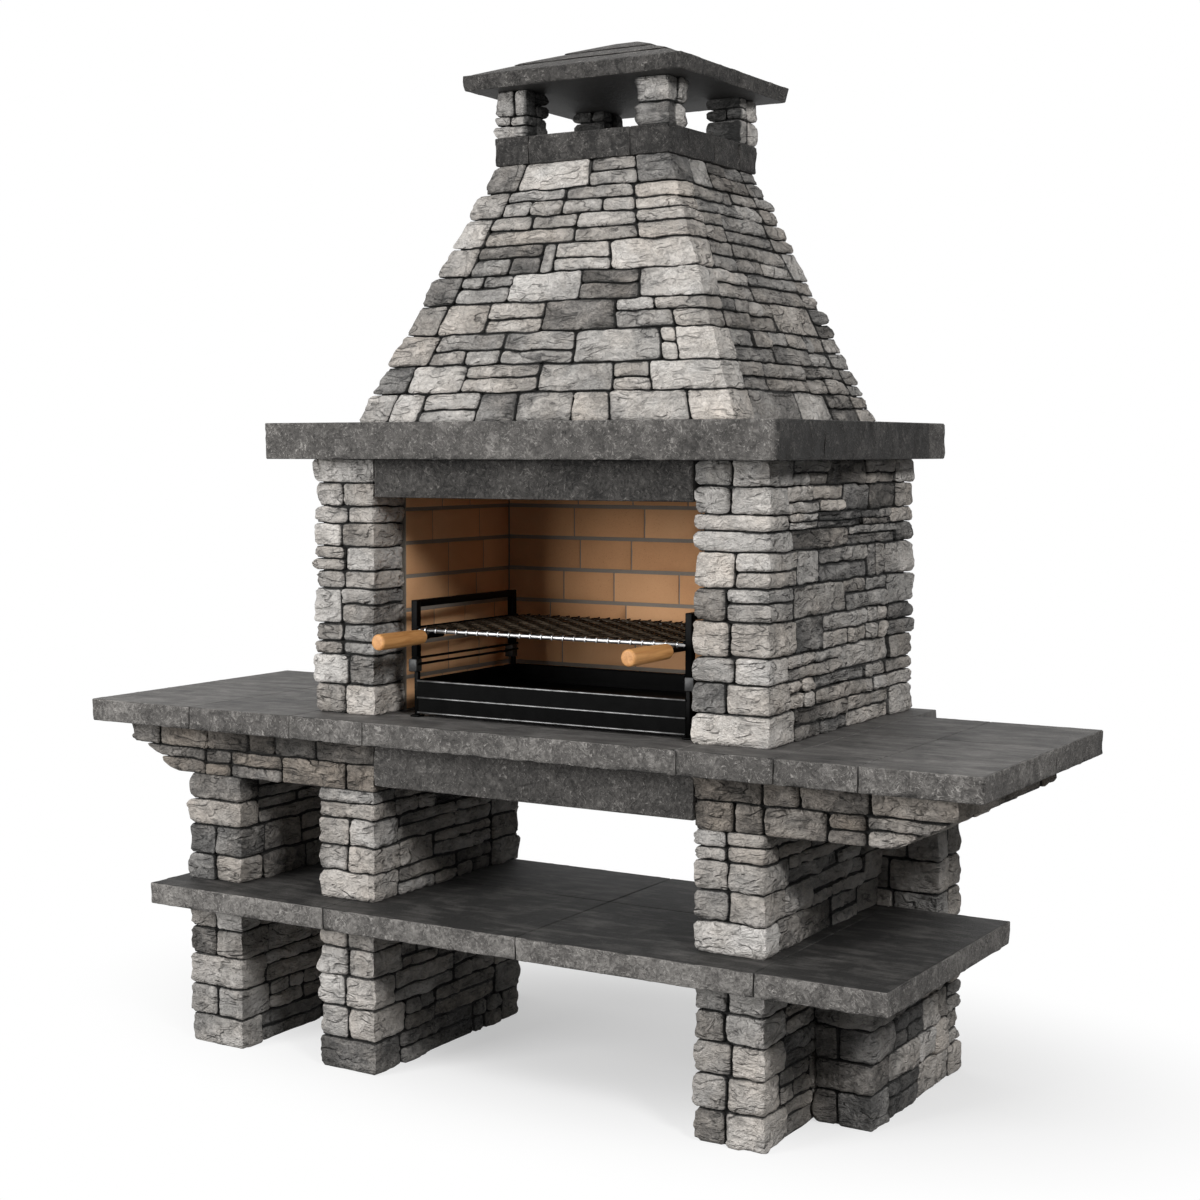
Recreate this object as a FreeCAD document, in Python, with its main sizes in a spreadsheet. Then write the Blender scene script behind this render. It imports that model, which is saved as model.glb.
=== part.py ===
"""Masonry barbecue: stone piers, slabs and firebox, a tapering hood with a chimney, and a steel fire kit.

Frame: +Z up, +X to the user's right, +Y to the back. The origin is on the floor, in the middle of the
whole object's footprint. All sizes are millimetres.
"""
import FreeCAD, Part
import Sketcher
import os
import re

# Driving sizes
SIZES = {
    # Heights of the layers, from the floor up
    "pier_lower_height": 357,
    "shelf_thickness": 51,
    "pier_upper_height": 262,
    "corbel_height": 126,
    "worktop_thickness": 54,
    "tower_height": 600,
    "mantel_thickness": 84,
    "hood_height": 604,
    "collar_height": 65,
    "post_height": 109,
    "cap_thickness": 35,
    "roof_tier_height": 31,
    # Worktop and hearth slabs, left to right
    "worktop_left_width": 636,
    "hearth_width": 818,
    "pad_right_width": 224,
    "worktop_inner_right_width": 185,
    "worktop_outer_right_width": 263,
    "worktop_depth": 755,
    "hearth_depth": 890,
    # Shelf slabs
    "shelf_inset": 195,
    "shelf_left_width": 538,
    "shelf_right_width": 295,
    "shelf_back_gap": 5,
    # Piers, corbels and beams
    "face_setback": 95,
    "pier_width": 170,
    "pier_depth": 616,
    "outer_pier_inset": 235,
    "beam_bearing_left": 37,
    "beam_bearing_right": -8,
    "beam_height": 110,
    "beam_depth": 120,
    "rear_pier_width": 140,
    "rear_pier_depth": 148,
    "rear_pier_lap": 70,
    "side_pier_setback": 241,
    "corbel_left_inset": 42,
    "corbel_left_bevel_top_inset": 90,
    "corbel_left_bevel_bottom_inset": 187,
    "corbel_right_inset": 88,
    "corbel_right_bevel_top_inset": 102,
    "corbel_right_bevel_bottom_inset": 222,
    # Firebox
    "opening_left_shift": -34,
    "opening_right_shift": -9,
    "column_left_width": 180,
    "column_right_width": 180,
    "column_depth": 125,
    "tower_rear_inset": 23,
    "firebox_depth": 565,
    "lintel_height": 89,
    "lining_thickness": 60,
    "lining_top_gap": 40,
    # Mantel, hood and chimney
    "mantel_overhang": 66,
    "mantel_rear_overhang": 37,
    "hood_wall": 90,
    "hood_base_inset": 165.5,
    "hood_base_setback": 133,
    "hood_base_rear_inset": 11,
    "hood_side_run": 268.5,
    "hood_front_run": 191,
    "hood_rear_run": 132,
    "collar_overhang": 2,
    "post_size": 92,
    "cap_overhang_side": 60,
    "cap_overhang_front": 52,
    "cap_chamfer": 6,
    "roof_inset": 8,
    "roof_tier_lip": 9,
    "roof_ridge_length": 60,
    "roof_ridge_depth": 14,
    # Fire kit: stands, sleeves and side frames
    "kit_shift": 22.5,
    "kit_setback": 149,
    "kit_depth": 403,
    "kit_side_gap": 54,
    "foot_size": 24,
    "foot_thickness": 5,
    "stand_bar": 10,
    "stand_height": 105,
    "sleeve_size": 22,
    "sleeve_height": 30,
    "upright_bar": 16,
    "upright_height": 137,
    "guide_rod_diameter": 6,
    "low_slot_height": 131,
    "bearer_width": 15,
    "bearer_thickness": 3,
    "runner_height": 11,
    # Fire kit: charcoal tray and ash drawer
    "sheet": 2,
    "tray_floor_height": 43,
    "tray_wall_height": 44,
    "ash_slot_length": 180,
    "ash_slot_width": 8,
    "ash_slot_pitch": 60,
    "rim_bar": 5,
    "fit_gap": 0.3,
    # Fire kit: grate and handles
    "grate_height": 202,
    "grate_inset": 1,
    "grate_depth": 440,
    "side_bar_diameter": 8,
    "front_bar_diameter": 10,
    "wire_diameter": 4,
    "wire_edge": 12.5,
    "slide_gap": 1,
    "tang_diameter": 12,
    "tang_exposed": 30,
    "tang_insertion": 60,
    "tang_overlap": 50,
    "handle_inset": 31,
    "handle_length": 170,
    "handle_rear_diameter": 33,
    "handle_front_diameter": 37,
    "handle_round": 4,
    "bore_gap": 0.05,
}

# Counts
LOWER_COURSES = 5
UPPER_COURSES = 4
REAR_COURSES = 9
TOWER_COURSES = 10
BRICK_COURSES = 7
HOOD_COURSES = 9
ROOF_TIERS = 3
LONG_WIRES = 24
CROSS_WIRES = 14
ASH_SLOTS = 9

# Places worked out from the sizes
PLACES = {
    # Levels
    "shelf_top": "pier_lower_height + shelf_thickness",
    "corbel_under": "shelf_top + pier_upper_height",
    "worktop_under": "corbel_under + corbel_height",
    "hearth_top": "worktop_under + worktop_thickness",
    "mantel_under": "hearth_top + tower_height",
    "mantel_top": "mantel_under + mantel_thickness",
    "collar_under": "mantel_top + hood_height",
    "collar_top": "collar_under + collar_height",
    "cap_under": "collar_top + post_height",
    "cap_top": "cap_under + cap_thickness",
    # Slab joints, left to right
    "pad_left_width": "column_left_width - opening_left_shift",
    "worktop_width": "worktop_left_width + pad_left_width + hearth_width + pad_right_width"
                     " + worktop_inner_right_width + worktop_outer_right_width",
    "worktop_left": "-worktop_width / 2",
    "pad_left": "worktop_left + worktop_left_width",
    "hearth_left": "pad_left + pad_left_width",
    "hearth_right": "hearth_left + hearth_width",
    "pad_right": "hearth_right + pad_right_width",
    "worktop_joint": "pad_right + worktop_inner_right_width",
    "worktop_right": "worktop_width / 2",
    "shelf_left": "worktop_left + shelf_inset",
    "shelf_right": "worktop_right - shelf_inset",
    # Depths
    "handle_overhang": "handle_length + tang_exposed - kit_setback - grate_inset",
    "tower_depth": "hearth_depth - face_setback - tower_rear_inset",
    "mantel_depth": "face_setback + tower_depth + mantel_rear_overhang",
    "slab_front": "(handle_overhang - max(mantel_depth; hearth_depth)) / 2",
    "face_front": "slab_front + face_setback",
    "pier_back": "face_front + pier_depth",
    "shelf_back": "pier_back - shelf_back_gap",
    "rear_pier_back": "pier_back + rear_pier_depth",
    "jamb_back": "face_front + column_depth",
    "lining_face": "face_front + firebox_depth",
    "lining_back": "lining_face + lining_thickness",
    "tower_back": "face_front + tower_depth",
    # Piers
    "outer_pier_left": "worktop_left + outer_pier_inset",
    "beam_left": "hearth_left - beam_bearing_left",
    "beam_right": "hearth_right + beam_bearing_right",
    "inner_pier_left": "beam_left - pier_width",
    "inner_pier_right": "beam_right + pier_width",
    "side_pier_right": "inner_pier_right + rear_pier_width",
    "rear_pier_left": "inner_pier_left + rear_pier_lap - rear_pier_width",
    # Firebox
    "opening_left": "hearth_left + opening_left_shift",
    "opening_right": "hearth_right + opening_right_shift",
    "tower_left": "opening_left - column_left_width",
    "tower_right": "opening_right + column_right_width",
    "tower_centre": "(tower_left + tower_right) / 2",
    "wall_left_face": "opening_left - lining_thickness",
    "wall_right_face": "opening_right + lining_thickness",
    "lining_top": "mantel_under - lining_top_gap",
    # Mantel and hood
    "mantel_left": "tower_left - mantel_overhang",
    "mantel_right": "tower_right + mantel_overhang",
    "mantel_back": "slab_front + mantel_depth",
    "hood_base_width": "mantel_right - mantel_left - 2 * hood_base_inset",
    "hood_base_depth": "mantel_depth - hood_base_setback - hood_base_rear_inset",
    "hood_base_front": "slab_front + hood_base_setback",
    "hood_top_width": "hood_base_width - 2 * hood_side_run",
    "hood_top_depth": "hood_base_depth - hood_front_run - hood_rear_run",
    "hood_top_front": "hood_base_front + hood_front_run",
    "smoke_left": "tower_centre - hood_base_width / 2 + hood_wall",
    "smoke_right": "tower_centre + hood_base_width / 2 - hood_wall",
    "smoke_front": "hood_base_front + hood_wall",
    "smoke_back": "hood_base_front + hood_base_depth - hood_wall",
    # Chimney
    "collar_left": "tower_centre - hood_top_width / 2 - collar_overhang",
    "collar_right": "tower_centre + hood_top_width / 2 + collar_overhang",
    "collar_front": "hood_top_front - collar_overhang",
    "collar_back": "hood_top_front + hood_top_depth + collar_overhang",
    "collar_wall": "hood_wall + collar_overhang",
    "cap_left": "collar_left - cap_overhang_side",
    "cap_right": "collar_right + cap_overhang_side",
    "cap_front": "collar_front - cap_overhang_front",
    "cap_back": "collar_back + cap_overhang_front",
    # Fire kit
    "kit_centre": "(opening_left + opening_right) / 2 + kit_shift",
    "kit_front": "slab_front + kit_setback",
    "kit_rear": "kit_front + kit_depth",
    "kit_inner_width": "hearth_width - 2 * kit_side_gap",
    "kit_half": "kit_inner_width / 2",
    "stand_front": "kit_front - stand_bar / 2",
    "sleeve_under": "hearth_top + stand_height",
    "upright_under": "sleeve_under + sleeve_height",
    "upright_top": "upright_under + upright_height",
    "slot_step": "(guide_rod_diameter + side_bar_diameter) / 2 + fit_gap",
    "runner_top": "hearth_top + runner_height",
    "tray_under": "hearth_top + tray_floor_height",
    "tray_width": "kit_inner_width - 2 * fit_gap",
    "tray_left": "kit_centre - tray_width / 2",
    "tray_depth": "kit_depth + stand_bar",
    "drawer_width": "kit_inner_width - 2 * slide_gap",
    "drawer_left": "kit_centre - drawer_width / 2",
    "drawer_floor": "runner_top + fit_gap",
    "drawer_under": "drawer_floor - bearer_thickness",
    "drawer_box_top": "tray_under - fit_gap - bearer_thickness - slide_gap",
    "drawer_front_top": "tray_under - slide_gap",
    # Grate and handles
    "grate_level": "hearth_top + grate_height",
    "grate_front": "kit_front + grate_inset",
    "grate_rear": "grate_front + grate_depth",
    "side_bar_half": "kit_half - slide_gap - side_bar_diameter / 2",
    "grate_half": "side_bar_half - side_bar_diameter / 2",
    "wire_pitch": f"2 * (grate_half - wire_edge) / {LONG_WIRES - 1}",
    "long_wire_level": "grate_level + (front_bar_diameter + wire_diameter) / 2 + fit_gap",
    "cross_wire_level": "long_wire_level - wire_diameter - fit_gap",
    "tang_level": "grate_level - (front_bar_diameter + tang_diameter) / 2 - fit_gap",
    "handle_rear": "grate_front - tang_exposed",
    "handle_half": "kit_half - handle_inset",
}

ALONG_X = FreeCAD.Rotation(FreeCAD.Vector(0, 1, 0), 90)
ALONG_Y = FreeCAD.Rotation(FreeCAD.Vector(1, 0, 0), -90)
WEDGE_UPRIGHT = FreeCAD.Rotation(FreeCAD.Vector(1, 0, 0), 90)
TOWARDS_USER = FreeCAD.Rotation(FreeCAD.Vector(0, 0, 1), -90)

doc = FreeCAD.newDocument("masonry_barbecue")
subparts = []


def linked(text):
    """Return the expression with each size and place prefixed by its sheet."""
    def owner(match):
        word = match.group(0)
        if word in SIZES:
            return f"Sizes.{word}"
        if word in PLACES:
            return f"Places.{word}"
        return word
    return re.sub(r"[a-z_]+", owner, str(text))


def fill_sheet(name, cells):
    """Make a spreadsheet with one aliased cell per entry."""
    sheet = doc.addObject("Spreadsheet::Sheet", name)
    for row, (alias, content) in enumerate(cells.items(), start=1):
        sheet.set(f"A{row}", alias)
        sheet.set(f"B{row}", content)
        sheet.setAlias(f"B{row}", alias)
    doc.recompute()
    return sheet


def bind(item, **expressions):
    """Tie properties of an object to sizes and places."""
    for name, text in expressions.items():
        item.setExpression(name, linked(text))


def place(item, x, y, z):
    """Tie an object's position to sizes and places."""
    for axis, text in zip("xyz", (x, y, z)):
        item.setExpression(f"Placement.Base.{axis}", linked(text))


def finish(item, label):
    """Name an object as a sub-part."""
    item.Label = label
    subparts.append(item)
    return item


def block(name, west, east, front, back, low, high):
    """A rectangular block between six planes."""
    item = doc.addObject("Part::Box", name)
    bind(item, Length=f"({east}) - ({west})", Width=f"({back}) - ({front})", Height=f"({high}) - ({low})")
    place(item, west, front, low)
    return item


def tapered_block(name, base, top, low, high):
    """A block whose base and top rectangles differ; each is (west, east, front, back)."""
    item = doc.addObject("Part::Wedge", name)
    item.Placement.Rotation = WEDGE_UPRIGHT
    bind(item, Xmin=base[0], Xmax=base[1], Zmin=f"-({base[3]})", Zmax=f"-({base[2]})", Ymin=low)
    bind(item, X2min=top[0], X2max=top[1], Z2min=f"-({top[3]})", Z2max=f"-({top[2]})", Ymax=high)
    return item


def rod(name, rotation, x, y, z, diameter, length):
    """A round bar that starts at a point and runs along X or Y."""
    item = doc.addObject("Part::Cylinder", name)
    item.Placement.Rotation = rotation
    bind(item, Radius=f"({diameter}) / 2", Height=length)
    place(item, x, y, z)
    return item


def group(label, members):
    """A sub-part made of several separate solids."""
    item = doc.addObject("Part::Compound", label)
    item.Links = members
    return finish(item, label)


def between(start, end, step, count):
    """The expression that lies step / count of the way from start to end."""
    return f"({start}) + (({end}) - ({start})) * {step} / {count}"


def course_wall(label, west, east, front, back, low, high, count):
    """A wall of equal courses, one block on another."""
    courses = []
    for step in range(count):
        course_low = between(low, high, step, count)
        course_high = between(low, high, step + 1, count)
        courses.append(block(f"{label}_{step}", west, east, front, back, course_low, course_high))
    return group(label, courses)


def slab(label, west, east, front, back, low, high):
    """A single slab as a sub-part."""
    return finish(block(label, west, east, front, back, low, high), label)


def origin_plane(body, role):
    """Return one of a body's own origin planes."""
    return next(item for item in body.Origin.OriginFeatures if item.Role == role)


def polygon_sketch(body, name, corners, level="0"):
    """A closed outline on the body's XY plane, its corners tied to sizes."""
    sketch = body.newObject("Sketcher::SketchObject", name)
    sketch.AttachmentSupport = (origin_plane(body, "XY_Plane"), "")
    sketch.MapMode = "FlatFace"
    sketch.setExpression("AttachmentOffset.Base.z", linked(level))
    count = len(corners)
    # A first guess of the outline, before the constraints pull each corner to its place
    guess = [FreeCAD.Vector(value(x), value(y), 0) for x, y in corners]
    for index in range(count):
        sketch.addGeometry(Part.LineSegment(guess[index], guess[(index + 1) % count]))
    for index in range(count):
        sketch.addConstraint(Sketcher.Constraint("Coincident", index, 2, (index + 1) % count, 1))
    for index, (x, y) in enumerate(corners):
        pin_corner(sketch, index, "DistanceX", -2, x)
        pin_corner(sketch, index, "DistanceY", -1, y)
    return sketch


def pin_corner(sketch, index, kind, axis, text):
    """Hold one coordinate of a corner: on the axis, or at a distance tied to a size."""
    if text == "0":
        sketch.addConstraint(Sketcher.Constraint("PointOnObject", index, 1, axis))
        return
    name = f"{kind}{index}"
    place_in_list = sketch.addConstraint(Sketcher.Constraint(kind, -1, 1, index, 1, value(text)))
    sketch.renameConstraint(place_in_list, name)
    sketch.setExpression(f"Constraints.{name}", linked(text))


def value(text):
    """Work out an expression's present number."""
    return float(sizes.evalExpression(linked(text)))


def rectangle_corners(west, east, front, back):
    """The four corners of an outline rectangle."""
    return [(west, front), (east, front), (east, back), (west, back)]


def pad(body, name, corners, length, level="0"):
    """Add a straight extrusion of an outline."""
    feature = body.newObject("PartDesign::Pad", name)
    feature.Profile = polygon_sketch(body, f"{name}_outline", corners, level)
    bind(feature, Length=length)
    return feature


def pocket_up(body, name, corners, length, level):
    """Cut upward from a level of the body."""
    feature = body.newObject("PartDesign::Pocket", name)
    feature.Profile = polygon_sketch(body, f"{name}_outline", corners, level)
    feature.Reversed = True
    bind(feature, Length=length)
    return feature


def build_piers():
    """Stone piers, in courses, below and above the shelf."""
    spans = {
        "pier_outer_left": ("outer_pier_left", "outer_pier_left + pier_width"),
        "pier_inner_left": ("inner_pier_left", "beam_left"),
        "pier_inner_right": ("beam_right", "inner_pier_right"),
    }
    for label, (west, east) in spans.items():
        course_wall(f"{label}_lower", west, east, "face_front", "pier_back",
                    "0", "pier_lower_height", LOWER_COURSES)
        course_wall(f"{label}_upper", west, east, "face_front", "pier_back",
                    "shelf_top", "corbel_under", UPPER_COURSES)
    course_wall("side_pier_right", "inner_pier_right", "side_pier_right", "face_front + side_pier_setback",
                "pier_back", "0", "pier_lower_height", LOWER_COURSES)
    course_wall("rear_pier_right", "inner_pier_right - rear_pier_lap", "side_pier_right", "pier_back",
                "rear_pier_back", "0", "corbel_under", REAR_COURSES)
    course_wall("rear_pier_left", "rear_pier_left", "rear_pier_left + rear_pier_width", "pier_back",
                "rear_pier_back", "0", "corbel_under", REAR_COURSES)


def build_shelf():
    """Three shelf slabs on the lower piers."""
    left_joint = "shelf_left + shelf_left_width"
    right_joint = "shelf_right - shelf_right_width"
    spans = {
        "shelf_left_slab": ("shelf_left", left_joint),
        "shelf_centre_slab": (left_joint, right_joint),
        "shelf_right_slab": (right_joint, "shelf_right"),
    }
    for label, (west, east) in spans.items():
        slab(label, west, east, "slab_front", "shelf_back", "pier_lower_height", "shelf_top")


def build_corbels():
    """Two-course corbels with bevelled outer ends, and the beams that carry the hearth."""
    middle = "corbel_under + corbel_height / 2"
    back_and_front = ("face_front", "pier_back")
    rows = {
        "corbel_left": ("worktop_left", "+", "beam_left"),
        "corbel_right": ("worktop_right", "-", "beam_right"),
    }
    for label, (end, inward, root) in rows.items():
        tip, bevel_top, bevel_bottom = (
            (f"{end} {inward} {inset}", root) if inward == "+" else (root, f"{end} {inward} {inset}")
            for inset in (f"{label}_inset", f"{label}_bevel_top_inset", f"{label}_bevel_bottom_inset"))
        upper = block(f"{label}_top", *tip, *back_and_front, middle, "worktop_under")
        lower = tapered_block(f"{label}_low", (*bevel_bottom, *back_and_front), (*bevel_top, *back_and_front),
                              "corbel_under", middle)
        group(label, [lower, upper])
    slab("hearth_beam_front", "beam_left", "beam_right", "face_front", "face_front + beam_depth",
         "worktop_under - beam_height", "worktop_under")
    slab("hearth_beam_rear", "rear_pier_left", "side_pier_right", "pier_back", "rear_pier_back",
         "corbel_under", "worktop_under")


def build_worktop():
    """Worktop slabs of the wings, and the deeper hearth slabs under the firebox."""
    spans = {
        "worktop_left_slab": ("worktop_left", "pad_left", "worktop_depth"),
        "hearth_pad_left": ("pad_left", "hearth_left", "hearth_depth"),
        "hearth_slab": ("hearth_left", "hearth_right", "hearth_depth"),
        "hearth_pad_right": ("hearth_right", "pad_right", "hearth_depth"),
        "worktop_right_inner_slab": ("pad_right", "worktop_joint", "worktop_depth"),
        "worktop_right_outer_slab": ("worktop_joint", "worktop_right", "worktop_depth"),
    }
    for label, (west, east, depth) in spans.items():
        slab(label, west, east, "slab_front", f"slab_front + {depth}", "worktop_under", "hearth_top")


def build_firebox():
    """Stone columns and walls, the lintel, and the firebrick lining."""
    walls = {
        "column_left": ("tower_left", "opening_left", "face_front", "jamb_back"),
        "column_right": ("opening_right", "tower_right", "face_front", "jamb_back"),
        "side_wall_left": ("tower_left", "wall_left_face", "jamb_back", "tower_back"),
        "side_wall_right": ("wall_right_face", "tower_right", "jamb_back", "tower_back"),
        "rear_wall": ("wall_left_face", "wall_right_face", "lining_back", "tower_back"),
    }
    for label, (west, east, front, back) in walls.items():
        course_wall(label, west, east, front, back, "hearth_top", "mantel_under", TOWER_COURSES)
    slab("firebox_lintel", "opening_left", "opening_right", "face_front", "jamb_back",
         "mantel_under - lintel_height", "mantel_under")
    linings = {
        "firebrick_left": ("wall_left_face", "opening_left", "jamb_back", "lining_back"),
        "firebrick_right": ("opening_right", "wall_right_face", "jamb_back", "lining_back"),
        "firebrick_back": ("opening_left", "opening_right", "lining_face", "lining_back"),
    }
    for label, (west, east, front, back) in linings.items():
        course_wall(label, west, east, front, back, "hearth_top", "lining_top", BRICK_COURSES)


def build_mantel():
    """Four mantel slabs round the smoke opening."""
    spans = {
        "mantel_front": ("mantel_left", "mantel_right", "slab_front", "smoke_front"),
        "mantel_left_slab": ("mantel_left", "smoke_left", "smoke_front", "smoke_back"),
        "mantel_right_slab": ("smoke_right", "mantel_right", "smoke_front", "smoke_back"),
        "mantel_rear": ("mantel_left", "mantel_right", "smoke_back", "mantel_back"),
    }
    for label, (west, east, front, back) in spans.items():
        slab(label, west, east, front, back, "mantel_under", "mantel_top")


def hood_outline(step):
    """West, east, front and back of the hood's outside at a course line."""
    half = between("hood_base_width / 2", "hood_top_width / 2", step, HOOD_COURSES)
    front = between("hood_base_front", "hood_top_front", step, HOOD_COURSES)
    depth = between("hood_base_depth", "hood_top_depth", step, HOOD_COURSES)
    return f"tower_centre - ({half})", f"tower_centre + ({half})", front, f"{front} + {depth}"


def hood_course(side, step, runs_through):
    """One wall's rectangle at a course line; a wall that runs through takes the corners."""
    west, east, front, back = hood_outline(step)
    if side in ("front", "rear"):
        if not runs_through:
            west, east = f"{west} + hood_wall", f"{east} - hood_wall"
        if side == "front":
            return west, east, front, f"{front} + hood_wall"
        return west, east, f"{back} - hood_wall", back
    if runs_through:
        front, back = f"{front} + hood_wall", f"{back} - hood_wall"
    if side == "left":
        return west, f"{west} + hood_wall", front, back
    return f"{east} - hood_wall", east, front, back


def build_hood():
    """Four tapering stone walls whose corners are bonded turn about."""
    for side in ("front", "left", "right", "rear"):
        courses = []
        for step in range(HOOD_COURSES):
            front_takes_corner = step % 2 == 0
            base = hood_course(side, step, front_takes_corner)
            top = hood_course(side, step + 1, front_takes_corner)
            low = between("mantel_top", "collar_under", step, HOOD_COURSES)
            high = between("mantel_top", "collar_under", step + 1, HOOD_COURSES)
            courses.append(tapered_block(f"hood_{side}_{step}", base, top, low, high))
        group(f"hood_{side}", courses)


def build_chimney():
    """Collar, corner posts, cap slab and the stepped roof."""
    inner_front = "collar_front + collar_wall"
    inner_back = "collar_back - collar_wall"
    ring = {
        "front": ("collar_left", "collar_right", "collar_front", inner_front),
        "rear": ("collar_left", "collar_right", inner_back, "collar_back"),
        "left": ("collar_left", "collar_left + collar_wall", inner_front, inner_back),
        "right": ("collar_right - collar_wall", "collar_right", inner_front, inner_back),
    }
    members = []
    for side, (west, east, front, back) in ring.items():
        members.append(block(f"collar_{side}", west, east, front, back, "collar_under", "collar_top"))
    group("flue_collar", members)
    columns = {"left": ("collar_left", "collar_left + post_size"),
               "right": ("collar_right - post_size", "collar_right")}
    rows = {"front": ("collar_front", "collar_front + post_size"),
            "rear": ("collar_back - post_size", "collar_back")}
    posts = []
    for row, (front, back) in rows.items():
        for column, (west, east) in columns.items():
            posts.append(block(f"post_{row}_{column}", west, east, front, back, "collar_top", "cap_under"))
    group("chimney_posts", posts)
    build_cap()
    build_roof()


def build_cap():
    """The cap slab, with its lower edges chamfered."""
    body = doc.addObject("PartDesign::Body", "cap_slab")
    width = "cap_right - cap_left"
    depth = "cap_back - cap_front"
    base = pad(body, "cap_block", rectangle_corners("0", width, "0", depth), "cap_thickness")
    doc.recompute()
    lower_edges = []
    for index, edge in enumerate(base.Shape.Edges, start=1):
        if edge.BoundBox.ZMax < value("cap_thickness") / 2:
            lower_edges.append(f"Edge{index}")
    chamfer = body.newObject("PartDesign::Chamfer", "cap_chamfer")
    chamfer.Base = (base, lower_edges)
    bind(chamfer, Size="cap_chamfer")
    place(body, "cap_left", "cap_front", "cap_under")
    finish(body, "cap_slab")


def roof_rectangle(step, lip):
    """The hip roof's rectangle at a tier line, widened by a lip."""
    middle_x = "(cap_left + cap_right) / 2"
    middle_y = "(cap_front + cap_back) / 2"
    half_x = between("(cap_right - cap_left) / 2 - roof_inset", "roof_ridge_length / 2", step, ROOF_TIERS)
    half_y = between("(cap_back - cap_front) / 2 - roof_inset", "roof_ridge_depth / 2", step, ROOF_TIERS)
    return (f"{middle_x} - ({half_x} + {lip})", f"{middle_x} + ({half_x} + {lip})",
            f"{middle_y} - ({half_y} + {lip})", f"{middle_y} + ({half_y} + {lip})")


def build_roof():
    """Three tapering tiers, each overhanging the one below by a lip."""
    tiers = []
    for step in range(ROOF_TIERS):
        lip = "roof_tier_lip" if step else "0"
        low = f"cap_top + roof_tier_height * {step}"
        high = f"cap_top + roof_tier_height * {step + 1}"
        tiers.append(tapered_block(f"roof_tier_{step}", roof_rectangle(step, lip),
                                   roof_rectangle(step + 1, "0"), low, high))
    group("cap_roof", tiers)


def outboard(sign, near, far):
    """West and east of a piece that lies from near to far outside the kit's inner plane."""
    ends = (f"kit_centre + {sign} * (kit_half + {near})", f"kit_centre + {sign} * (kit_half + {far})")
    return ends if sign > 0 else ends[::-1]


def build_stands():
    """Feet, posts, tray bearers and drawer runners, on each side, and the sleeves on the posts."""
    sleeves = []
    for side, sign in (("left", -1), ("right", 1)):
        members = []
        for end in ("kit_front", "kit_rear"):
            foot = outboard(sign, "(stand_bar - foot_size) / 2", "(stand_bar + foot_size) / 2")
            members.append(block(f"foot_{side}_{end}", *foot, f"{end} - foot_size / 2",
                                 f"{end} + foot_size / 2", "hearth_top", "hearth_top + foot_thickness"))
            post = outboard(sign, "0", "stand_bar")
            members.append(block(f"stand_post_{side}_{end}", *post, f"{end} - stand_bar / 2",
                                 f"{end} + stand_bar / 2", "hearth_top + foot_thickness", "sleeve_under"))
            sleeve = outboard(sign, "0", "sleeve_size")
            sleeves.append(block(f"sleeve_{side}_{end}", *sleeve, f"{end} - sleeve_size / 2",
                                 f"{end} + sleeve_size / 2", "sleeve_under", "upright_under"))
        strip = outboard(sign, "-bearer_width", "0")
        for name, top in (("bearer", "tray_under - fit_gap"), ("runner", "runner_top")):
            members.append(block(f"{name}_{side}", *strip, "kit_front + stand_bar / 2",
                                 "kit_rear + stand_bar / 2", f"{top} - bearer_thickness", top))
        group(f"stand_{side}", members)
    group("post_sleeves", sleeves)


def build_side_frames():
    """Uprights, a top bar and two pairs of guide rods on each side."""
    for side, sign in (("left", -1), ("right", 1)):
        members = []
        bar = outboard(sign, "0", "upright_bar")
        for end in ("kit_front", "kit_rear"):
            members.append(block(f"upright_{side}_{end}", *bar, f"{end} - upright_bar / 2",
                                 f"{end} + upright_bar / 2", "upright_under", "upright_top"))
        members.append(block(f"top_bar_{side}", *bar, "kit_front + upright_bar / 2",
                             "kit_rear - upright_bar / 2", "upright_top - upright_bar", "upright_top"))
        for slot, level in (("low", "hearth_top + low_slot_height"), ("high", "grate_level")):
            for place_in_slot, offset in (("under", "-slot_step"), ("over", "slot_step")):
                members.append(rod(f"guide_{side}_{slot}_{place_in_slot}", ALONG_Y,
                                   f"kit_centre + {sign} * (kit_half - guide_rod_diameter / 2)",
                                   "kit_front - upright_bar / 2", f"{level} + {offset}",
                                   "guide_rod_diameter", "kit_depth + upright_bar"))
        group(f"side_frame_{side}", members)


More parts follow.
